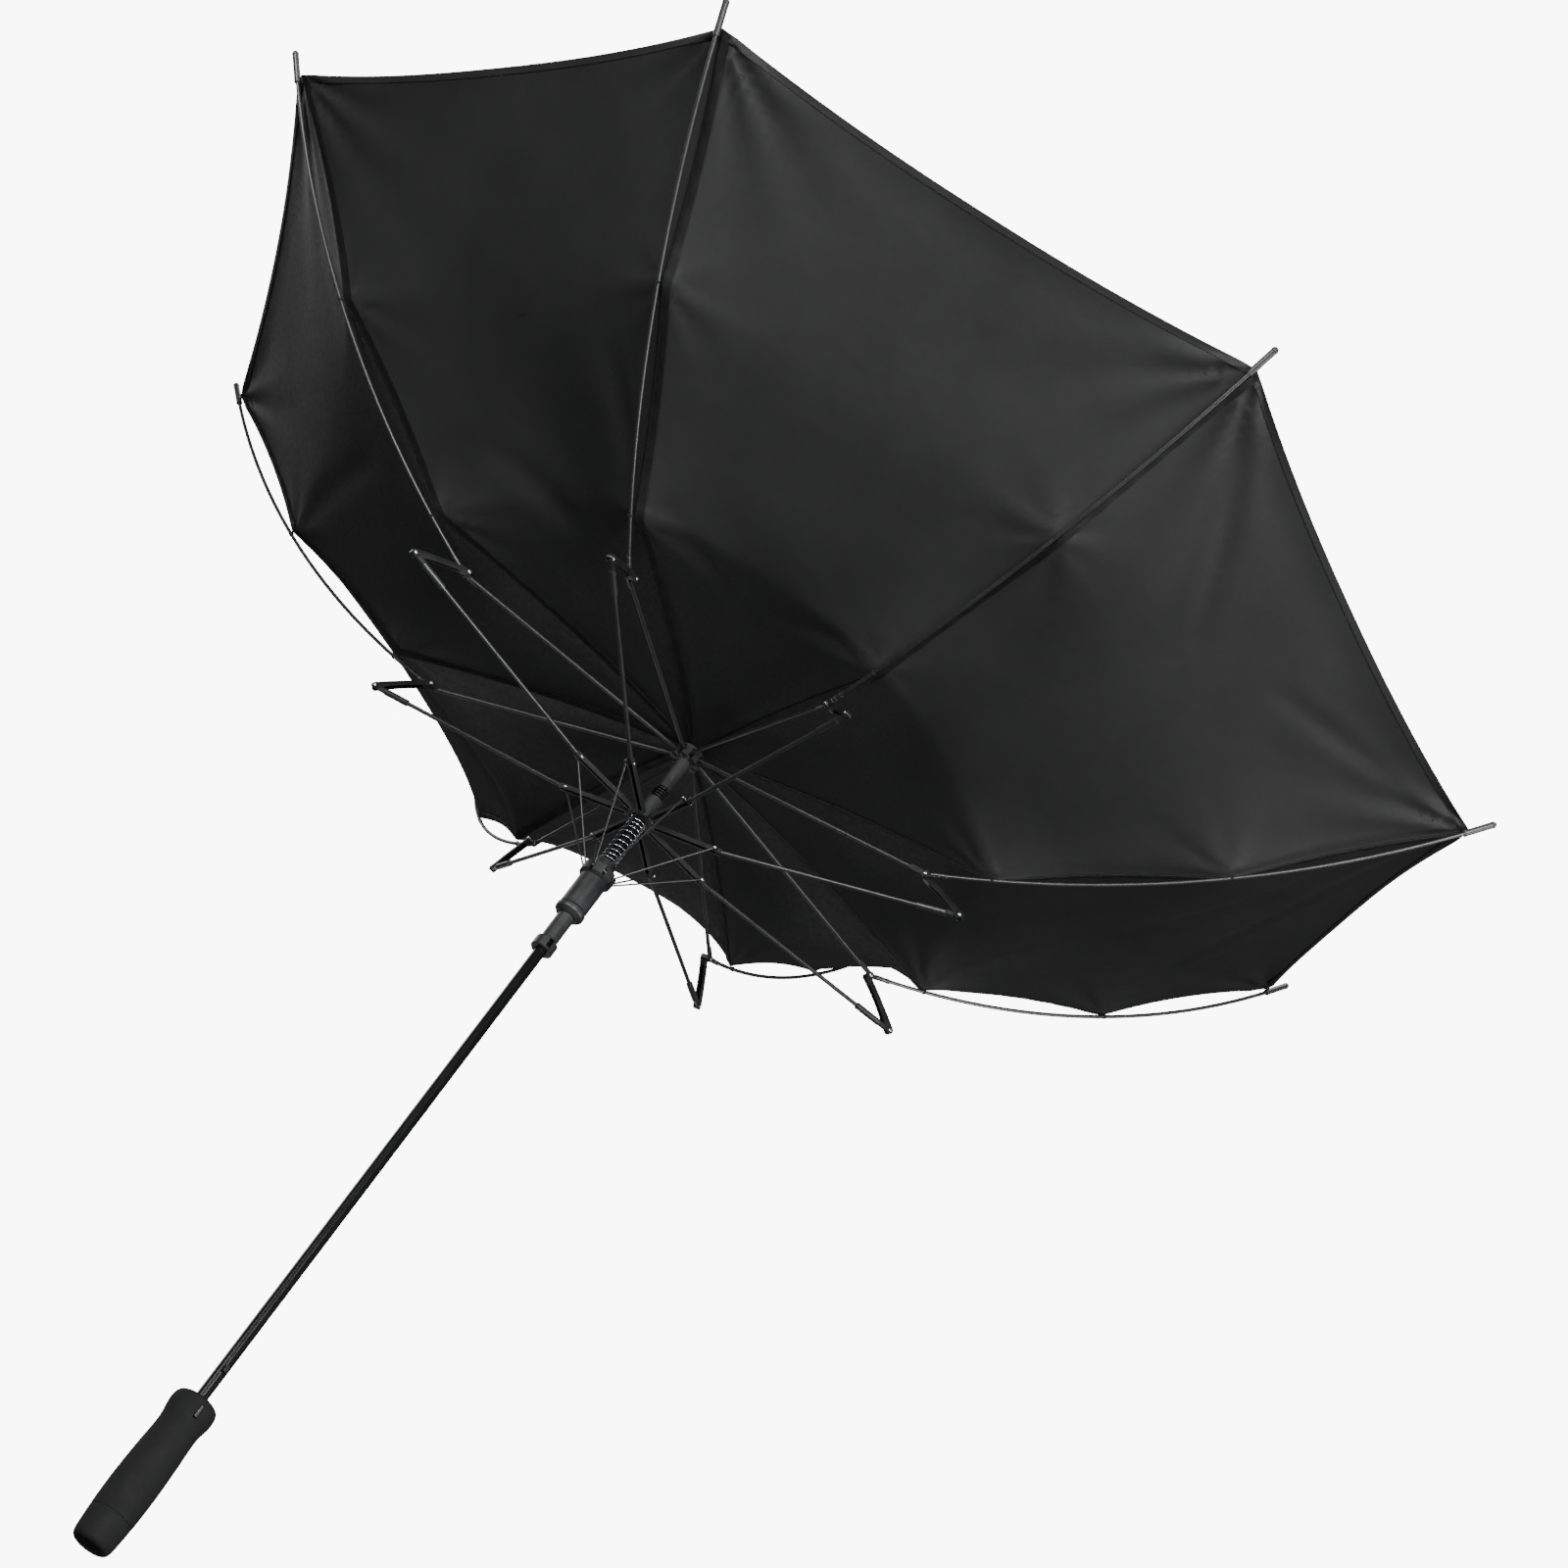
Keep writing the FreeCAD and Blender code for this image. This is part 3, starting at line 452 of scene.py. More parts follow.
def seam_path(k):
    """Rib k's seam in its radial plane, every millimetre: tied down to the rib, and evened out."""
    start = np.array([HOLE_RADIUS, CLOTH_LEVEL])
    way = on_bow(k, TIES[0], ROD_RADIUS + CLOTH_GAP) - start
    way /= np.linalg.norm(way)
    t = np.clip(ALONG / FIRST_TIE, 0, 1)
    inner_dip = TIE_SAG * 0.6 * 4 * t * (1 - t)
    inner = start + np.outer(ALONG, way) + np.outer(inner_dip, (-way[1], way[0]))
    t = np.clip((ALONG - FIRST_TIE) / (SECOND_TIE - FIRST_TIE), 0, 1)
    dip = TIE_SAG * 4 * t * (1 - t)
    t = np.clip((ALONG - SECOND_TIE) / (SEAM_LENGTH - SECOND_TIE), 0, 1)
    dip = dip + TIE_SAG * 4 * t * (1 - t)
    cap_start, cap_blend = SEAM_LENGTH - 0.022, 0.012
    rod = ROD_RADIUS + (CAP_RADIUS - ROD_RADIUS) * smooth_step((ALONG - cap_start) / cap_blend)
    turn = bow_angle(k, TIES[0]) + (ALONG - FIRST_TIE) / BOW_RADIUS
    spokes = np.stack([np.cos(turn), np.sin(turn)], axis=1)
    outer = bow_centre(k) + spokes * (BOW_RADIUS - rod - CLOTH_GAP - dip)[:, None]
    tied = np.where((ALONG < FIRST_TIE)[:, None], inner, outer)
    bell = np.exp(-0.5 * (np.arange(-3 * ROUNDING, 3 * ROUNDING + 1) / ROUNDING) ** 2)
    bell /= bell.sum()
    evened = np.stack([np.convolve(tied[:, n], bell, mode="same") for n in (0, 1)], axis=1)
    held_in, held_out = 0.06, 0.05
    free = smooth_step(ALONG / held_in) * (1 - smooth_step((ALONG - SEAM_LENGTH + held_out) / held_out))
    return tied, tied + (evened - tied) * free[:, None]


SEAMS = {k: seam_path(k) for k in RIBS}


def seam_points(k, places, evened):
    """The seam of rib k in the umbrella's frame at the given distances from the crown."""
    path = SEAMS[k][evened]
    x = np.interp(places, ALONG, path[:, 0])
    z = np.interp(places, ALONG, path[:, 1])
    a = azimuth(k)
    return np.stack([x * math.cos(a), x * math.sin(a), z], axis=-1)


# Creases of a panel, named by the rib at its start: two ends as shares of the panel's width and length,
# then width and depth in metres.
CREASES = {
    8: [
        (0.03, 0.98, 0.95, 0.73, 0.013, 0.0030),
        (0.05, 0.95, 0.90, 0.47, 0.019, 0.0034),
        (0.99, 0.43, 0.55, 0.62, 0.010, 0.0018),
        (0.30, 0.95, 0.85, 0.80, 0.012, 0.0012),
    ],
    1: [(0.02, 0.45, 0.50, 0.72, 0.015, 0.0022), (0.98, 0.72, 0.45, 0.90, 0.012, 0.0018)],
    5: [(0.82, 0.62, 0.96, 0.42, 0.016, 0.0030), (0.30, 0.50, 0.62, 0.36, 0.020, 0.0026)],
    6: [(0.10, 0.44, 0.55, 0.30, 0.018, 0.0022), (0.60, 0.36, 0.97, 0.44, 0.016, 0.0020)],
    7: [(0.05, 0.98, 0.40, 0.80, 0.012, 0.0014), (0.93, 0.96, 0.60, 0.86, 0.013, 0.0016)],
    4: [(0.05, 0.71, 0.60, 0.60, 0.018, 0.0020)],
    3: [(0.10, 0.45, 0.70, 0.66, 0.018, 0.0020)],
    2: [(0.10, 0.70, 0.80, 0.52, 0.018, 0.0020)],
}
# Every panel bellies into the bowl. Some have broad swellings too: middle and size as shares of the panel,
# then height in metres.
BELLY = 0.013
SWELLINGS = {
    5: [(0.55, 0.52, 0.22, 0.15, 0.0085), (0.45, 0.33, 0.20, 0.09, -0.0040)],
    6: [(0.45, 0.66, 0.26, 0.20, -0.0030), (0.50, 0.34, 0.22, 0.09, 0.0040)],
    7: [(0.50, 0.60, 0.26, 0.18, -0.0030), (0.40, 0.36, 0.20, 0.08, 0.0030)],
    8: [(0.45, 0.60, 0.24, 0.14, 0.0030)],
}


def relief(k, u, s, width):
    """How far the cloth of panel k stands above its evened surface, into the bowl."""
    v = s / SEAM_LENGTH
    across = 4 * u * (1 - u)
    height = BELLY * across * np.sin(math.pi * np.clip(v, 0, 1)) ** 1.2
    for middle_u, middle_v, wide, long, depth in SWELLINGS.get(k, []):
        height = height + depth * np.exp(-(((u - middle_u) / wide) ** 2 + ((v - middle_v) / long) ** 2))
    for u0, v0, u1, v1, spread_out, depth in CREASES[k]:
        ax, ay = (u0 - 0.5) * width, v0 * SEAM_LENGTH
        bx, by = (u1 - 0.5) * width, v1 * SEAM_LENGTH
        px, py = (u - 0.5) * width - ax, s - ay
        reach = (bx - ax) ** 2 + (by - ay) ** 2
        t = np.clip((px * (bx - ax) + py * (by - ay)) / reach, 0, 1)
        gap = np.hypot(px - t * (bx - ax), py - t * (by - ay)) / spread_out
        ridge = (1 - 0.55 * gap ** 2) * np.exp(-gap ** 2)
        height = height + depth * ridge * np.sin(math.pi * (0.08 + 0.84 * t)) ** 0.7
    for edge in (0, 1):
        away = width * (u if edge == 0 else 1 - u)
        back = SEAM_LENGTH - s
        turn = np.arctan2(away, back + 1e-6)
        reach = np.hypot(away, back)
        fan = np.sin(turn * 11.0 + k * 1.7 + edge) * np.exp(-reach / 0.075) * smooth_step(reach / 0.02)
        height = height + 0.0030 * fan * smooth_step(away / 0.012)
        for tie in (FIRST_TIE, SECOND_TIE):
            turn = np.arctan2(s - tie, away + 1e-6)
            pull = np.cos(turn * 7.0 + k + tie * 9) * np.exp(-np.hypot(away, s - tie) / 0.045)
            height = height + 0.0014 * pull * smooth_step(away / 0.010)
    slow = np.sin(7.0 * v + 2.1 * k) * np.sin(5.0 * u + 1.3 * k) + 0.6 * np.sin(13 * v - 4 * u + k)
    return height + 0.0014 * slow * across * smooth_step(v / 0.15)


def grid_normals(grid):
    """Unit normals of a grid of points, on the side of the bowl's inside."""
    normals = np.cross(np.gradient(grid, axis=0), np.gradient(grid, axis=1))
    return normals / np.maximum(np.linalg.norm(normals, axis=2, keepdims=True), 1e-12)


def panel_grid(k, places, columns):
    """Points of panel k, from rib k to the next, and the cloth's normals there."""
    ribs = (k, next_rib(k))
    places = np.array(places)
    flat, heights = [], []
    for u in columns:
        curve = 1 - abs(2 * u - 1) ** 2.3
        s = places - HEM_HOLLOW * curve * smooth_step((places - SEAM_LENGTH + HEM_PULL) / HEM_PULL)
        level = [seam_points(rib, s, 1) for rib in ribs]
        tied = [seam_points(rib, s, 0) for rib in ribs]
        width = np.linalg.norm(level[1] - level[0], axis=1)
        column = 0
        for rib, share in ((0, u), (1, 1 - u)):
            near = np.exp(-width * share / TIE_SPREAD)[:, None]
            column = column + (1 - share) * level[rib] + (tied[rib] - level[rib]) * near
        flat.append(column)
        heights.append(relief(k, u, s, width))
    flat = np.stack(flat, axis=1)
    grid = flat + grid_normals(flat) * np.stack(heights, axis=1)[..., None]
    return grid, grid_normals(grid)


def spaced_rows(low, high, step):
    """Evenly spaced places, about a step apart."""
    return list(np.linspace(low, high, max(2, int(round((high - low) / step)) + 1)))


# The inner and the outer gore part where the rib's joint lies.
SPLIT = 0.2694 - HOLE_RADIUS
ROWS = spaced_rows(0.0, SPLIT, 0.009)
ROWS += spaced_rows(SPLIT, FIRST_TIE, 0.0075)[1:]
ROWS += spaced_rows(FIRST_TIE, SECOND_TIE, 0.0075)[1:]
ROWS += spaced_rows(SECOND_TIE, SEAM_LENGTH - HEM_FOLD, 0.007)[1:]
ROWS += [SEAM_LENGTH - HEM_FOLD + 0.0006, SEAM_LENGTH - HEM_FOLD / 2, SEAM_LENGTH - 0.0006, SEAM_LENGTH]
SPLIT_ROW = ROWS.index(min(ROWS, key=lambda place: abs(place - SPLIT)))
EASED = [(n / HALF_COLUMNS) ** 1.15 * 0.5 for n in range(HALF_COLUMNS)]
COLUMNS = EASED + [0.5] + [1 - u for u in reversed(EASED)]
PANELS = {k: panel_grid(k, ROWS, COLUMNS) for k in RIBS}


def gore_grid(k, first, last):
    """Points along rib k's seam, out to the middle of the panel on each side, and each side's normals."""
    before, after = PANELS[rib_before(k)], PANELS[k]
    half = HALF_COLUMNS
    rows = slice(first, last + 1)
    points = np.concatenate([before[0][rows, half:], after[0][rows, 1:half + 1]], axis=1)
    return points, before[1][rows, half:], after[1][rows, :half + 1]


def gore(name, k, first, last, body, top=0.0, thick=CLOTH_THICK):
    """The cloth that is sewn along rib k, as a thin closed shell."""
    points, left, right = gore_grid(k, first, last)
    normals = np.concatenate([left, right[:, 1:]], axis=1)
    shared = left[:, -1] + right[:, 0]
    normals[:, HALF_COLUMNS] = shared / np.linalg.norm(shared, axis=1, keepdims=True)
    rows, columns = points.shape[:2]
    fold = [HEM_THICK * (place > SEAM_LENGTH - HEM_FOLD) for place in ROWS[first:last + 1]]
    under = points + normals * (top - np.array(fold)[:, None, None])
    over = points + normals * (top + thick)
    verts = np.concatenate([under.reshape(-1, 3), over.reshape(-1, 3)])
    piece = new_piece(name, verts, shell_faces(rows, columns), PONGEE)
    paint_uv(piece, rows, columns, first, points)
    shade_like_cloth(piece, rows, columns, left, right)
    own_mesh(piece)
    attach(piece, body)
    return piece, points


def paint_uv(piece, rows, columns, first, points):
    """Lays the weave on the cloth: metres across the rib by metres along it."""
    steps = np.linalg.norm(np.diff(points, axis=1), axis=2)
    across = np.concatenate([np.zeros((rows, 1)), np.cumsum(steps, axis=1)], axis=1)
    across -= across[:, columns // 2][:, None]
    along = np.repeat(np.array(ROWS[first:first + rows])[:, None], columns, axis=1)
    flat = np.stack([across, along], axis=2).reshape(-1, 2)
    layer = piece.data.uv_layers.new(name="weave")
    spots = np.zeros(len(piece.data.loops), dtype=int)
    piece.data.loops.foreach_get("vertex_index", spots)
    layer.data.foreach_set("uv", flat[spots % (rows * columns)].astype(np.float32).reshape(-1))


def shade_like_cloth(piece, rows, columns, left, right):
    """Gives the piece the whole cloth's normals, so that no line shows where two pieces meet."""
    count = rows * columns
    sides = (left.reshape(-1, 3), right.reshape(-1, 3))
    wide = HALF_COLUMNS + 1
    normals = []
    for polygon in piece.data.polygons:
        column = min((v % count) % columns for v in polygon.vertices)
        on_right = int(column >= HALF_COLUMNS)
        on_face = len({v // count for v in polygon.vertices}) == 1
        for v in polygon.vertices:
            row, col = divmod(v % count, columns)
            normal = sides[on_right][row * wide + (col - HALF_COLUMNS if on_right else col)]
            normals.append(tuple((normal if v >= count else -normal) if on_face else polygon.normal))
    piece.data.normals_split_custom_set(normals)


# ---------------------------------------------------------------- sewing

THREAD_RADIUS = 0.00022
TIE_THREAD_RADIUS = 0.00028


def stitch(start, end, out, thick=THREAD_RADIUS):
    """A raised thread between two points, arched a little away from the cloth."""
    arch = [(start, 0.0), (start * 0.7 + end * 0.3, 1.0), (start * 0.3 + end * 0.7, 1.0), (end, 0.0)]
    points = [place + out * (0.00025 + 0.0002 * lift) for place, lift in arch]
    return tube(points, thick, 5)


def on_panel(k, row, away):
    """A point of panel k at a row, some way from rib k, and its outward direction."""
    grid, normals = PANELS[k]
    line, facing = grid[row], normals[row]
    reach = np.concatenate([[0.0], np.cumsum(np.linalg.norm(np.diff(line, axis=0), axis=1))])
    point = np.array([np.interp(away, reach, line[:, n]) for n in range(3)])
    out = -np.array([np.interp(away, reach, facing[:, n]) for n in range(3)])
    return point, out / np.linalg.norm(out)


ALLOWANCE = 0.0085
STITCH_PITCH, HEM_PITCH = 0.0028, 0.0034
STITCH_LINE = 0.0018
# The share of a stitch's pitch that is bare cloth.
STITCH_GAP = 0.25


def allowance(name, k, first, last, body):
    """The seam's two raw edges, pressed over to one side of the seam, and their line of stitches; the edges
    are coloured far darker than the pongee, as painted shade beside the rib.
    """
    widths = [0.0004, 0.0018, 0.0045, ALLOWANCE]
    rows = list(range(first, last + 1))
    under, over = [], []
    for row in rows:
        reach = min(1.0, 0.25 + ROWS[row] / 0.05)
        wave = 0.0004 * math.sin(ROWS[row] * 210 + k)
        for n, width in enumerate(widths):
            point, out = on_panel(k, row, width * reach)
            over.append(point + out * 0.0005)
            under.append(point + out * (0.0011 + (0.0006 + wave) * n / 3))
    # The strip is coloured with the darkened seam cloth: painted shade beside the rib.
    strip = new_piece(name, under + over, shell_faces(len(rows), len(widths)), SEAM_CLOTH_PAINTED_SHADE)
    sharp_by_angle(strip, 50.0)
    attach(strip, body)
    places, outs = (np.array(line) for line in zip(*[on_panel(k, row, STITCH_LINE) for row in rows]))
    thread = stitched(name + "_stitches", places, outs, 0.0012, body)
    return [strip, thread]


def stitched(name, places, outs, lift, body, pitch=STITCH_PITCH):
    """A line of stitches along points of the cloth."""
    reach = np.concatenate([[0.0], np.cumsum(np.linalg.norm(np.diff(places, axis=0), axis=1))])
    count = int(reach[-1] / pitch)

    def at(distance):
        point = np.array([np.interp(distance, reach, places[:, n]) for n in range(3)])
        out = np.array([np.interp(distance, reach, outs[:, n]) for n in range(3)])
        return Vector(point + out * lift), Vector(out).normalized()

    parts = []
    for n in range(count):
        (start, out), (end, _) = at((n + STITCH_GAP / 2) * pitch), at((n + 1 - STITCH_GAP / 2) * pitch)
        parts.append(stitch(start, end, out))
    piece = new_piece(name, *joined(parts), THREAD)
    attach(piece, body)
    return piece


def hem_stitches(k, body):
    """The hem's stitches on the piece of cloth of rib k."""
    points, left, right = gore_grid(k, len(ROWS) - 4, len(ROWS) - 1)
    outs = -np.concatenate([left, right[:, 1:]], axis=1)
    piece = stitched(f"hem_stitches_{k}", points[0] + outs[0] * 0.0006, outs[0], 0.0, body, HEM_PITCH)
    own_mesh(piece)
    return piece


def thread_ties(k, body):
    """The threads that tie the seam down to the rib, wound around the rod and drawn up to the cloth."""
    parts = []
    for place in TIES:
        middle = on_bow(k, place)
        ahead = heading(bow_angle(k, place) + math.pi / 2)
        inward = heading(bow_angle(k, place) + math.pi)
        for turn_index in range(4):
            along = middle + ahead * (turn_index - 1.5) * 0.0006
            loop = []
            for n in range(19):
                turn = 2 * math.pi * n / 18
                reach = ROD_RADIUS + 0.00025 + 0.0004 * max(0.0, math.cos(turn)) ** 3
                spot = along + inward * reach * math.cos(turn) + ahead * 0.0001 * n / 3
                loop.append(placed(k, spot[0], spot[1], RIB_SIDE + reach * math.sin(turn)))
            parts.append(tube(loop, TIE_THREAD_RADIUS, 6))
        for lean in (-1, 0, 1):
            low = middle + inward * ROD_RADIUS + ahead * 0.0009 * lean
            high = middle + inward * (ROD_RADIUS + CLOTH_GAP * 0.8) + ahead * 0.0022 * lean
            ends = [placed(k, *low, RIB_SIDE), placed(k, *high, -0.0004)]
            ends.insert(1, (ends[0] + ends[1]) / 2 + sideways(k) * 0.0004)
            parts.append(tube(ends, TIE_THREAD_RADIUS, 6))
    piece = new_piece(f"ties_{k}", *joined(parts), THREAD)
    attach(piece, body)
    return piece


TACK_PANEL, TACK_ACROSS, TACK_ALONG = 5, 0.52, 0.505
TACK_PITCH = 0.0024


def bar_tack(k, u, place, body):
    """The short row of thread on panel k where the closing strap is sewn to the cloth's other side."""
    row = min(range(len(ROWS)), key=lambda n: abs(ROWS[n] - place))
    grid, normals = PANELS[k]
    line, facing = grid[row], normals[row]
    middle = np.array([np.interp(u, COLUMNS, line[:, n]) for n in range(3)])
    out = -np.array([np.interp(u, COLUMNS, facing[:, n]) for n in range(3)])
    way = line[HALF_COLUMNS + 1] - line[HALF_COLUMNS]
    way = way / np.linalg.norm(way)
    parts = []
    for n in range(5):
        start = Vector(middle + way * (n - 2.5) * TACK_PITCH)
        end = Vector(middle + way * (n - 1.6) * TACK_PITCH)
        parts.append(stitch(start, end, Vector(out), 0.0004))
    piece = new_piece("strap_tack", *joined(parts), THREAD)
    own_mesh(piece)
    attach(piece, body)
    return piece


last_row = len(ROWS) - 1
for k in RIBS:
    inner_body, outer_body = f"inner_rib_{k}_body", f"outer_rib_{k}_body"
    inner, inner_points = gore(f"canopy_inner_{k}", k, 0, SPLIT_ROW, inner_body)
    outer, outer_points = gore(f"canopy_outer_{k}", k, SPLIT_ROW, last_row, outer_body)
    lap, lap_points = gore(
        f"canopy_lap_{k}", k, SPLIT_ROW - 3, SPLIT_ROW + 1, outer_body, top=0.0009, thick=0.0003
    )
    sewn_inner = allowance(f"seam_inner_{k}", k, 1, SPLIT_ROW, inner_body)
    sewn_outer = allowance(f"seam_outer_{k}", k, SPLIT_ROW, last_row - 1, outer_body)
    sewn_outer += [hem_stitches(k, outer_body), thread_ties(k, outer_body)]
    if k == next_rib(TACK_PANEL):
        sewn_outer.append(bar_tack(TACK_PANEL, TACK_ACROSS, TACK_ALONG, outer_body))
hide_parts("canopy")


# ---------------------------------------------------------------- springs

SPRING_WIRE_RADIUS = 0.00056
SPRING_TURNS = 10.5
END_FLATTENING = 0.035


def wound_spring(name, radius, low, high, material):
    """A compression spring whose turns lie closer at its ends."""
    points = []
    steps = int(SPRING_TURNS * 28)
    for n in range(steps + 1):
        t = n / steps
        turn = 2 * math.pi * SPRING_TURNS * t
        eased = t - END_FLATTENING * math.sin(2 * math.pi * t)
        points.append((radius * math.cos(turn), radius * math.sin(turn), low + (high - low) * eased))
    return new_piece(name, *tube(points, SPRING_WIRE_RADIUS, 10), material)


spring_low, spring_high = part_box("main_spring")
coil_radius = spring_high.x - SPRING_WIRE_RADIUS
coil_low, coil_high = spring_low.z + SPRING_WIRE_RADIUS, spring_high.z - SPRING_WIRE_RADIUS
main_spring = wound_spring("main_spring_coil", coil_radius, coil_low, coil_high, SPRING_STEEL)
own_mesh(main_spring)
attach(main_spring, "hub")
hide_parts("main_spring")


# ---------------------------------------------------------------- links, rivets and sleeves

LINK_WIDTH = 0.0064
LINK_WALL = 0.0011
FOOT_RADIUS, HEAD_RADIUS = 0.0038, 0.0030
LINK_BOW = 0.0012
LINK_WAIST = 0.0005
LINK_END_GAP = 0.001
LINK_BEVEL = 0.0004
LINK_CORNER = 0.0013
# How deep the channel's floor lies below the link's back, and how long its head is solid.
LINK_FLOOR = 0.0019
LINK_SOLID, LINK_RUNOUT = 0.012, 0.004


def link_lever(k):
    """The moulded link: a bowed lever, channelled towards the stretcher, with rounded ends."""
    way = RIB_JOINT - LINK_FOOT
    run = float(np.linalg.norm(way))
    way = way / run
    open_way = np.array([-way[1], way[0]])
    stops = [-FOOT_RADIUS * math.cos(math.radians(a)) for a in (4, 20, 40, 60, 80)]
    stops += list(np.linspace(LINK_END_GAP, run - LINK_END_GAP, 26))
    stops += [run + HEAD_RADIUS * math.sin(math.radians(a)) for a in (10, 30, 50, 70, 86)]
    half, slot = LINK_WIDTH / 2, LINK_WIDTH / 2 - LINK_WALL
    verts = []
    for stop in stops:
        share = min(1.0, max(0.0, stop / run))
        depth = FOOT_RADIUS + (HEAD_RADIUS - FOOT_RADIUS) * share - LINK_WAIST * math.sin(math.pi * share)
        if stop < 0:
            depth = math.sqrt(max(1e-8, FOOT_RADIUS ** 2 - stop ** 2))
        if stop > run:
            depth = math.sqrt(max(1e-8, HEAD_RADIUS ** 2 - (stop - run) ** 2))
        middle = LINK_FOOT + way * stop - open_way * LINK_BOW * math.sin(math.pi * share)
        hollow = 1.0 - smooth_step((stop - run + LINK_SOLID) / LINK_RUNOUT)
        floor = depth - (2 * depth - LINK_FLOOR) * float(hollow) * min(1.0, depth / HEAD_RADIUS)
        corner = min(LINK_CORNER, depth * 0.6)
        bevel, eased = LINK_BEVEL, corner * 0.3
        section = [
            (-half, depth - bevel), (-half, -depth + corner), (-half + eased, -depth + eased),
            (-half + corner, -depth), (half - corner, -depth), (half - eased, -depth + eased),
            (half, -depth + corner), (half, depth - bevel), (half - bevel, depth),
            (slot, depth), (slot, floor), (-slot, floor), (-slot, depth), (-half + bevel, depth),
        ]
        for side, off in section:
            spot = middle + open_way * off
            verts.append(placed(k, spot[0], spot[1], ARM_SIDE + side))
    lever = new_piece(f"link_lever_{k}", verts, loop_faces(len(stops), len(section)), LINK_PLASTIC)
    face_outward(lever)
    sharp_by_angle(lever, 32.0)
    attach(lever, f"link_{k}_body")
    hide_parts(f"link_{k}")


def face_outward(piece):
    """Makes the faces of a piece look outward."""
    shell = bmesh.new()
    shell.from_mesh(piece.data)
    bmesh.ops.recalc_face_normals(shell, faces=shell.faces)
    shell.to_mesh(piece.data)
    shell.free()


def lathe(profile, foot, way, sides=20):
    """Points and faces turned about an axis, from a profile of radius and distance along it."""
    way = Vector(way).normalized()
    first = way.orthogonal().normalized()
    second = way.cross(first)
    verts = []
    for radius, reach in profile:
        for n in range(sides):
            turn = 2 * math.pi * n / sides
            verts.append(foot + way * reach + (first * math.cos(turn) + second * math.sin(turn)) * radius)
    return verts, loop_faces(len(profile), sides)


RIVET_RADIUS, ARM_RIVET_RADIUS = 0.0019, 0.0018
CRIMP_REACHES = (0.0085, 0.0125, 0.0195)
CRIMP_BEAD = [(0.0021, -0.0009), (0.00250, -0.0005), (0.00262, 0.0), (0.00250, 0.0005), (0.0021, 0.0009)]
RIM_REACHES = (-CAP_LENGTH + 0.0012, -0.0032)
RIM_BEAD = [(0.0026, -0.0011), (0.00315, -0.0007), (0.00325, 0.0), (0.00315, 0.0007), (0.0026, 0.0011)]


def rivet(k, place, side, outward, radius=RIVET_RADIUS, shank=0.0004):
    """A domed rivet head that stands off a pivot, towards + or - of the rib's side."""
    profile = [(radius * 0.5, -shank), (radius * 0.5, 0.0)]
    profile += [(radius * math.cos(a), 0.0002 + 0.0007 * math.sin(a)) for a in np.linspace(0, 1.45, 6)]
    return lathe(profile, placed(k, *place, side), sideways(k) * outward)


def rivet_heads(name, parts, body):
    piece = new_piece(name, *joined(parts), PIN_STEEL)
    face_outward(piece)
    sharp_by_angle(piece, 40.0)
    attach(piece, body)


def beads(k, name, bead, start, angle, reaches, material):
    """Raised rings around outer rib k, at distances from a place in its plane along a direction."""
    way = placed(k, *heading(angle)) - placed(k, 0, 0)
    middles = [start + heading(angle) * reach for reach in reaches]
    rings = [lathe(bead, placed(k, *middle, RIB_SIDE), way) for middle in middles]
    piece = new_piece(f"{name}_{k}", *joined(rings), material)
    face_outward(piece)
    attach(piece, f"outer_rib_{k}_body")


def rib_hardware(k):
    """Rivet heads at each pivot of a rib set, the crimps of the rib's sleeve and the rims of its cap."""
    half = LINK_WIDTH / 2
    link_heads = [
        rivet(k, LINK_FOOT, ARM_SIDE + half, 1),
        rivet(k, LINK_FOOT, ARM_SIDE - half, -1, shank=0.0006),
        rivet(k, RIB_JOINT, ARM_SIDE + half, 1),
    ]
    rivet_heads(f"link_rivets_{k}", link_heads, f"link_{k}_body")
    rivet_heads(f"rib_rivet_{k}", [rivet(k, RIB_JOINT, RIB_SIDE - 0.0020, -1)], f"inner_rib_{k}_body")
    arm_heads = [
        rivet(k, WIRE_HEAD, ARM_SIDE + 0.0034, 1, ARM_RIVET_RADIUS),
        rivet(k, WIRE_HEAD, -0.0026, -1, ARM_RIVET_RADIUS, 0.0030),
    ]
    rivet_heads(f"arm_rivets_{k}", arm_heads, f"stretcher_{k}_body")
    root = bow_angle(k, 0.0) + math.pi / 2
    beads(k, "sleeve_crimps", CRIMP_BEAD, RIB_JOINT, root, CRIMP_REACHES, ARM_PAINT)
    tip = RIB_JOINT + heading(rise_of(k)) * OUTER_SPAN
    tip_way = bow_angle(k, OUTER_SPAN - CAP_LENGTH / 2) + math.pi / 2
    beads(k, "cap_rims", RIM_BEAD, tip, tip_way, RIM_REACHES, CAP_PLASTIC)


for k in RIBS:
    link_lever(k)
    rib_hardware(k)


# ---------------------------------------------------------------- handle

# Outlines of the handle from its bore outward and up: distance from the shaft's axis, and height.
GRIP_OUTLINE = [
    (0.0092, 0.0304), (0.0194, 0.0304), (0.01995, 0.0312), (0.0204, 0.042), (0.0206, 0.058), (0.0203, 0.076),
    (0.0196, 0.095), (0.0188, 0.110), (0.0185, 0.119), (0.0190, 0.1265), (0.0202, 0.133), (0.0208, 0.139),
    (0.0203, 0.145), (0.0186, 0.149), (0.0155, 0.151), (0.0092, 0.151),
]
CAP_OUTLINE = [
    (0.00001, 0.0), (0.0110, 0.0), (0.0147, 0.0007), (0.0169, 0.0026), (0.0181, 0.0058), (0.0188, 0.012),
    (0.0194, 0.021), (0.0198, 0.0286), (0.0194, 0.0300), (0.0092, 0.0300),
]
HANDLE_SIDES = 96
BUTTON_SLOT_MIDDLE = (0, -0.0185, 0.137)
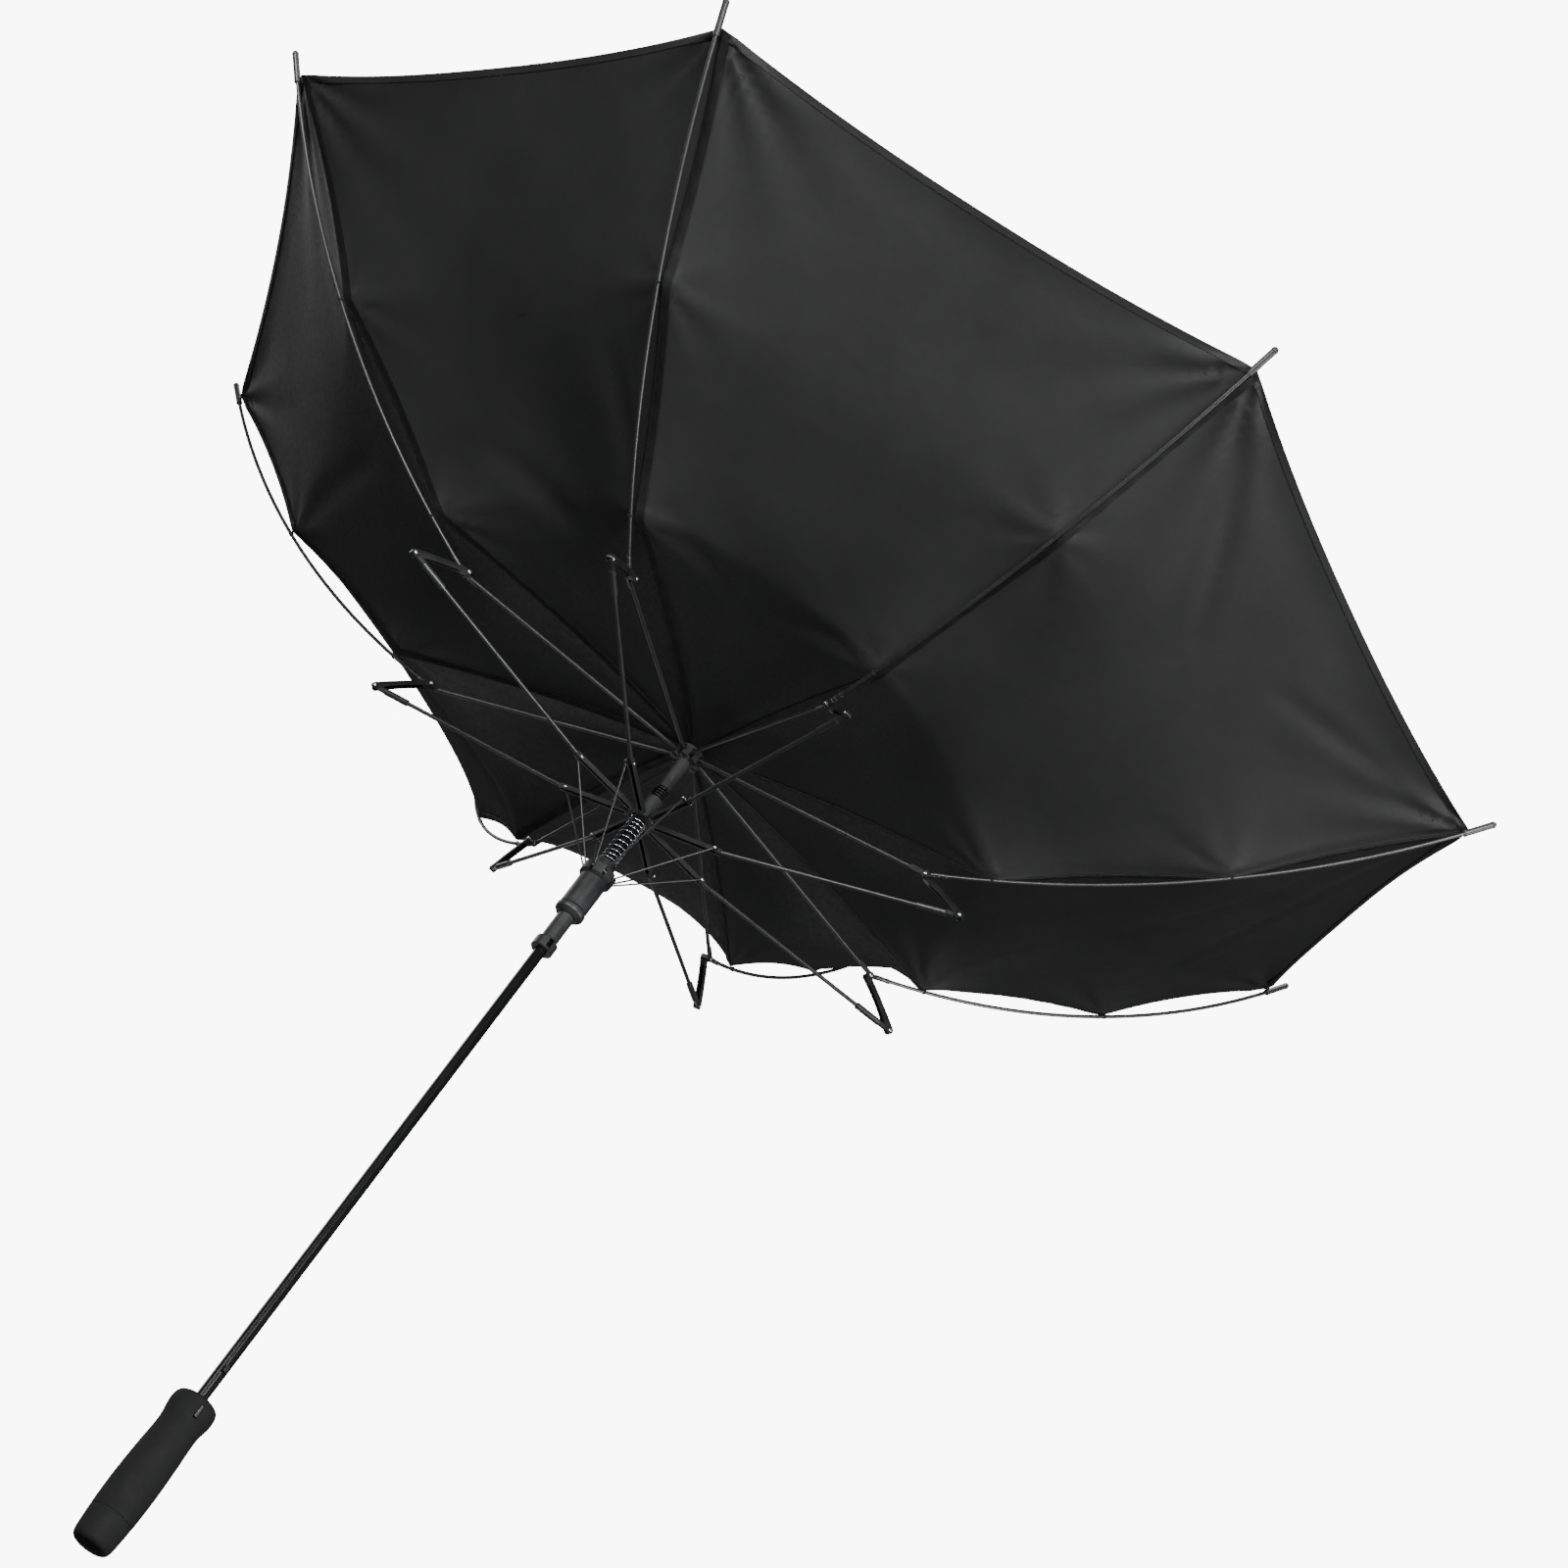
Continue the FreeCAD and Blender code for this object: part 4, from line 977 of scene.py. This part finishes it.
BUTTON_SLOT_SIZE = (0.004, 0.028, 0.0128)


def eased_outline(outline, steps=7):
    """An outline rounded through its points, apart from its two straight ends."""
    soft = [outline[0]]
    for n in range(1, len(outline) - 2):
        before, here, there, after = (np.array(outline[m]) for m in (n - 1, n, n + 1, n + 2))
        if n == 1:
            before = here
        if n == len(outline) - 3:
            after = there
        for step in range(steps):
            t = step / steps
            spot = 2 * here + (there - before) * t + (2 * before - 5 * here + 4 * there - after) * t ** 2
            soft.append(tuple((spot + (3 * here - before - 3 * there + after) * t ** 3) / 2))
    return soft + [outline[-2], outline[-1]]


def ring_piece(name, outline, material):
    """A round piece about the shaft, whose last loop of points is joined to its first by its bore."""
    verts, _ = lathe(eased_outline(outline), Vector((0, 0, 0)), (0, 0, 1), HANDLE_SIDES)
    rows = len(verts) // HANDLE_SIDES
    faces = loop_faces(rows, HANDLE_SIDES, closed=False)
    last = (rows - 1) * HANDLE_SIDES
    for n in range(HANDLE_SIDES):
        m = (n + 1) % HANDLE_SIDES
        faces.append((last + n, last + m, m, n))
    piece = new_piece(name, verts, faces, material)
    face_outward(piece)
    return piece


def slotted(piece, middle, extent):
    """Cuts a box-shaped slot into a piece."""
    box = bmesh.new()
    bmesh.ops.create_cube(box, size=1.0)
    for corner in box.verts:
        corner.co = Vector(c * e for c, e in zip(corner.co, extent)) + Vector(middle)
    mesh = bpy.data.meshes.new("slot_tool")
    box.to_mesh(mesh)
    box.free()
    tool = bpy.data.objects.new("slot_tool", mesh)
    bpy.context.scene.collection.objects.link(tool)
    cutter = piece.modifiers.new("slot", "BOOLEAN")
    cutter.operation = "DIFFERENCE"
    cutter.object = tool
    cutter.solver = "EXACT"
    graph = bpy.context.evaluated_depsgraph_get()
    result = bpy.data.meshes.new_from_object(piece.evaluated_get(graph))
    piece.modifiers.clear()
    old, piece.data = piece.data, result
    bpy.data.meshes.remove(old)
    bpy.data.objects.remove(tool)
    bpy.data.meshes.remove(mesh)


grip = ring_piece("grip", GRIP_OUTLINE, FOAM)
slotted(grip, BUTTON_SLOT_MIDDLE, BUTTON_SLOT_SIZE)
end_cap = ring_piece("end_cap", CAP_OUTLINE, FOAM)
for piece, node in ((grip, "handle_grip"), (end_cap, "handle_end_cap")):
    sharp_by_angle(piece, 35.0)
    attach(piece, "shaft_set")
    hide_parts(node)


# ---------------------------------------------------------------- stage, light and camera

LOOK_AT = Vector((0.0, 0.0, 0.924))
CAMERA_PLACE = LOOK_AT + Vector((-0.78802, -2.91976, -1.80809))
VIEW_AZIMUTH, VIEW_ELEVATION, VIEW_TILT = 73.2509, 31.4182, 36.3486
LENS = 87.235
FLOOR_LEVEL = -1.95
FLOOR_RINGS = (2.0, 6.0, 12.0)
FLOOR_SIDES = 96
FLOOR_GLOW, ROOM_GLOW = 4.5, 9.0
ROOM_RADIUS = 16.0


def from_compass(azimuth_deg, elevation_deg):
    """A direction from its angle about the shaft, from +X towards +Y, and its angle above level."""
    a, e = math.radians(azimuth_deg), math.radians(elevation_deg)
    return Vector((math.cos(a) * math.cos(e), math.sin(a) * math.cos(e), math.sin(e)))


def add_camera():
    """The camera below the handle's side, looking up into the frame and tilted about its own axis."""
    data = bpy.data.cameras.new("camera")
    data.lens = LENS
    data.sensor_width = 36.0
    data.clip_start, data.clip_end = 0.05, 200.0
    camera = bpy.data.objects.new("camera", data)
    bpy.context.scene.collection.objects.link(camera)
    ahead = from_compass(VIEW_AZIMUTH, VIEW_ELEVATION)
    level = ahead.cross((0, 0, 1)).normalized()
    right = Matrix.Rotation(-math.radians(VIEW_TILT), 3, ahead) @ level
    turn = Matrix((right, right.cross(ahead), -ahead)).transposed()
    camera.matrix_world = Matrix.Translation(CAMERA_PLACE) @ turn.to_4x4()
    bpy.context.scene.camera = camera


def area_light(name, way, distance, width, power):
    """A square softbox in a direction from the umbrella's crown, facing it."""
    light = bpy.data.lights.new(name, "AREA")
    light.shape = "SQUARE"
    light.size = width
    light.energy = power
    lamp = bpy.data.objects.new(name, light)
    bpy.context.scene.collection.objects.link(lamp)
    lamp.location = LOOK_AT + Vector(way).normalized() * distance
    lamp.rotation_mode = "QUATERNION"
    lamp.rotation_quaternion = (LOOK_AT - lamp.location).to_track_quat("-Z", "Y")


def emissive(name, color, strength):
    material = bpy.data.materials.new(name)
    material.use_nodes = True
    tree = material.node_tree
    tree.nodes.clear()
    emission = tree.nodes.new("ShaderNodeEmission")
    emission.inputs["Color"].default_value = (*color, 1.0)
    emission.inputs["Strength"].default_value = strength
    output = tree.nodes.new("ShaderNodeOutputMaterial")
    tree.links.new(emission.outputs["Emission"], output.inputs["Surface"])
    return material


def add_stage():
    """A round pale floor and a white room: both are seen, but neither lights the umbrella."""
    sides = FLOOR_SIDES
    verts = [(0.0, 0.0, FLOOR_LEVEL)]
    for radius in FLOOR_RINGS:
        for n in range(sides):
            turn = 2 * math.pi * n / sides
            verts.append((radius * math.cos(turn), radius * math.sin(turn), FLOOR_LEVEL))
    faces = [(0, 1 + n, 1 + (n + 1) % sides) for n in range(sides)]
    for ring in range(len(FLOOR_RINGS) - 1):
        base = 1 + ring * sides
        for n in range(sides):
            m = (n + 1) % sides
            faces.append((base + n, base + n + sides, base + m + sides, base + m))
    pale = moulded("pale_floor", (0.70, 0.70, 0.70), (0.78, 0.78, 0.78), 0.85, 40.0, 0.0004, 0.1)
    glow = pale.node_tree.nodes["Principled BSDF"].inputs
    glow["Emission Color"].default_value = (1.0, 1.0, 1.0, 1.0)
    glow["Emission Strength"].default_value = FLOOR_GLOW
    floor = new_piece("floor", verts, faces, pale, smooth=False)
    dome_mesh = bpy.data.meshes.new("white_room")
    ball = bmesh.new()
    bmesh.ops.create_uvsphere(ball, u_segments=48, v_segments=24, radius=ROOM_RADIUS)
    ball.to_mesh(dome_mesh)
    ball.free()
    dome_mesh.materials.append(emissive("white_room", (1.0, 1.0, 1.0), ROOM_GLOW))
    dome = bpy.data.objects.new("white_room", dome_mesh)
    bpy.context.scene.collection.objects.link(dome)
    for backdrop in (floor, dome):
        for flag in ("visible_diffuse", "visible_glossy", "visible_transmission", "visible_shadow"):
            setattr(backdrop, flag, False)


def add_world():
    world = bpy.data.worlds.new("studio")
    world.use_nodes = True
    background = world.node_tree.nodes["Background"]
    background.inputs["Color"].default_value = (0.94, 0.97, 1.0, 1.0)
    background.inputs["Strength"].default_value = 0.07
    bpy.context.scene.world = world


add_camera()
add_stage()
add_world()
area_light("key", from_compass(262.0, -8.0), 4.2, 1.9, 340.0)
area_light("left_key", from_compass(214.0, -4.0), 4.3, 1.4, 230.0)
area_light("right_key", from_compass(322.0, -10.0), 4.2, 1.4, 190.0)
area_light("back_low", from_compass(75.0, -14.0), 4.2, 1.4, 9.0)
area_light("top", from_compass(250.0, 70.0), 4.5, 3.0, 220.0)
area_light("back_high", from_compass(128.0, 22.0), 4.2, 2.4, 60.0)
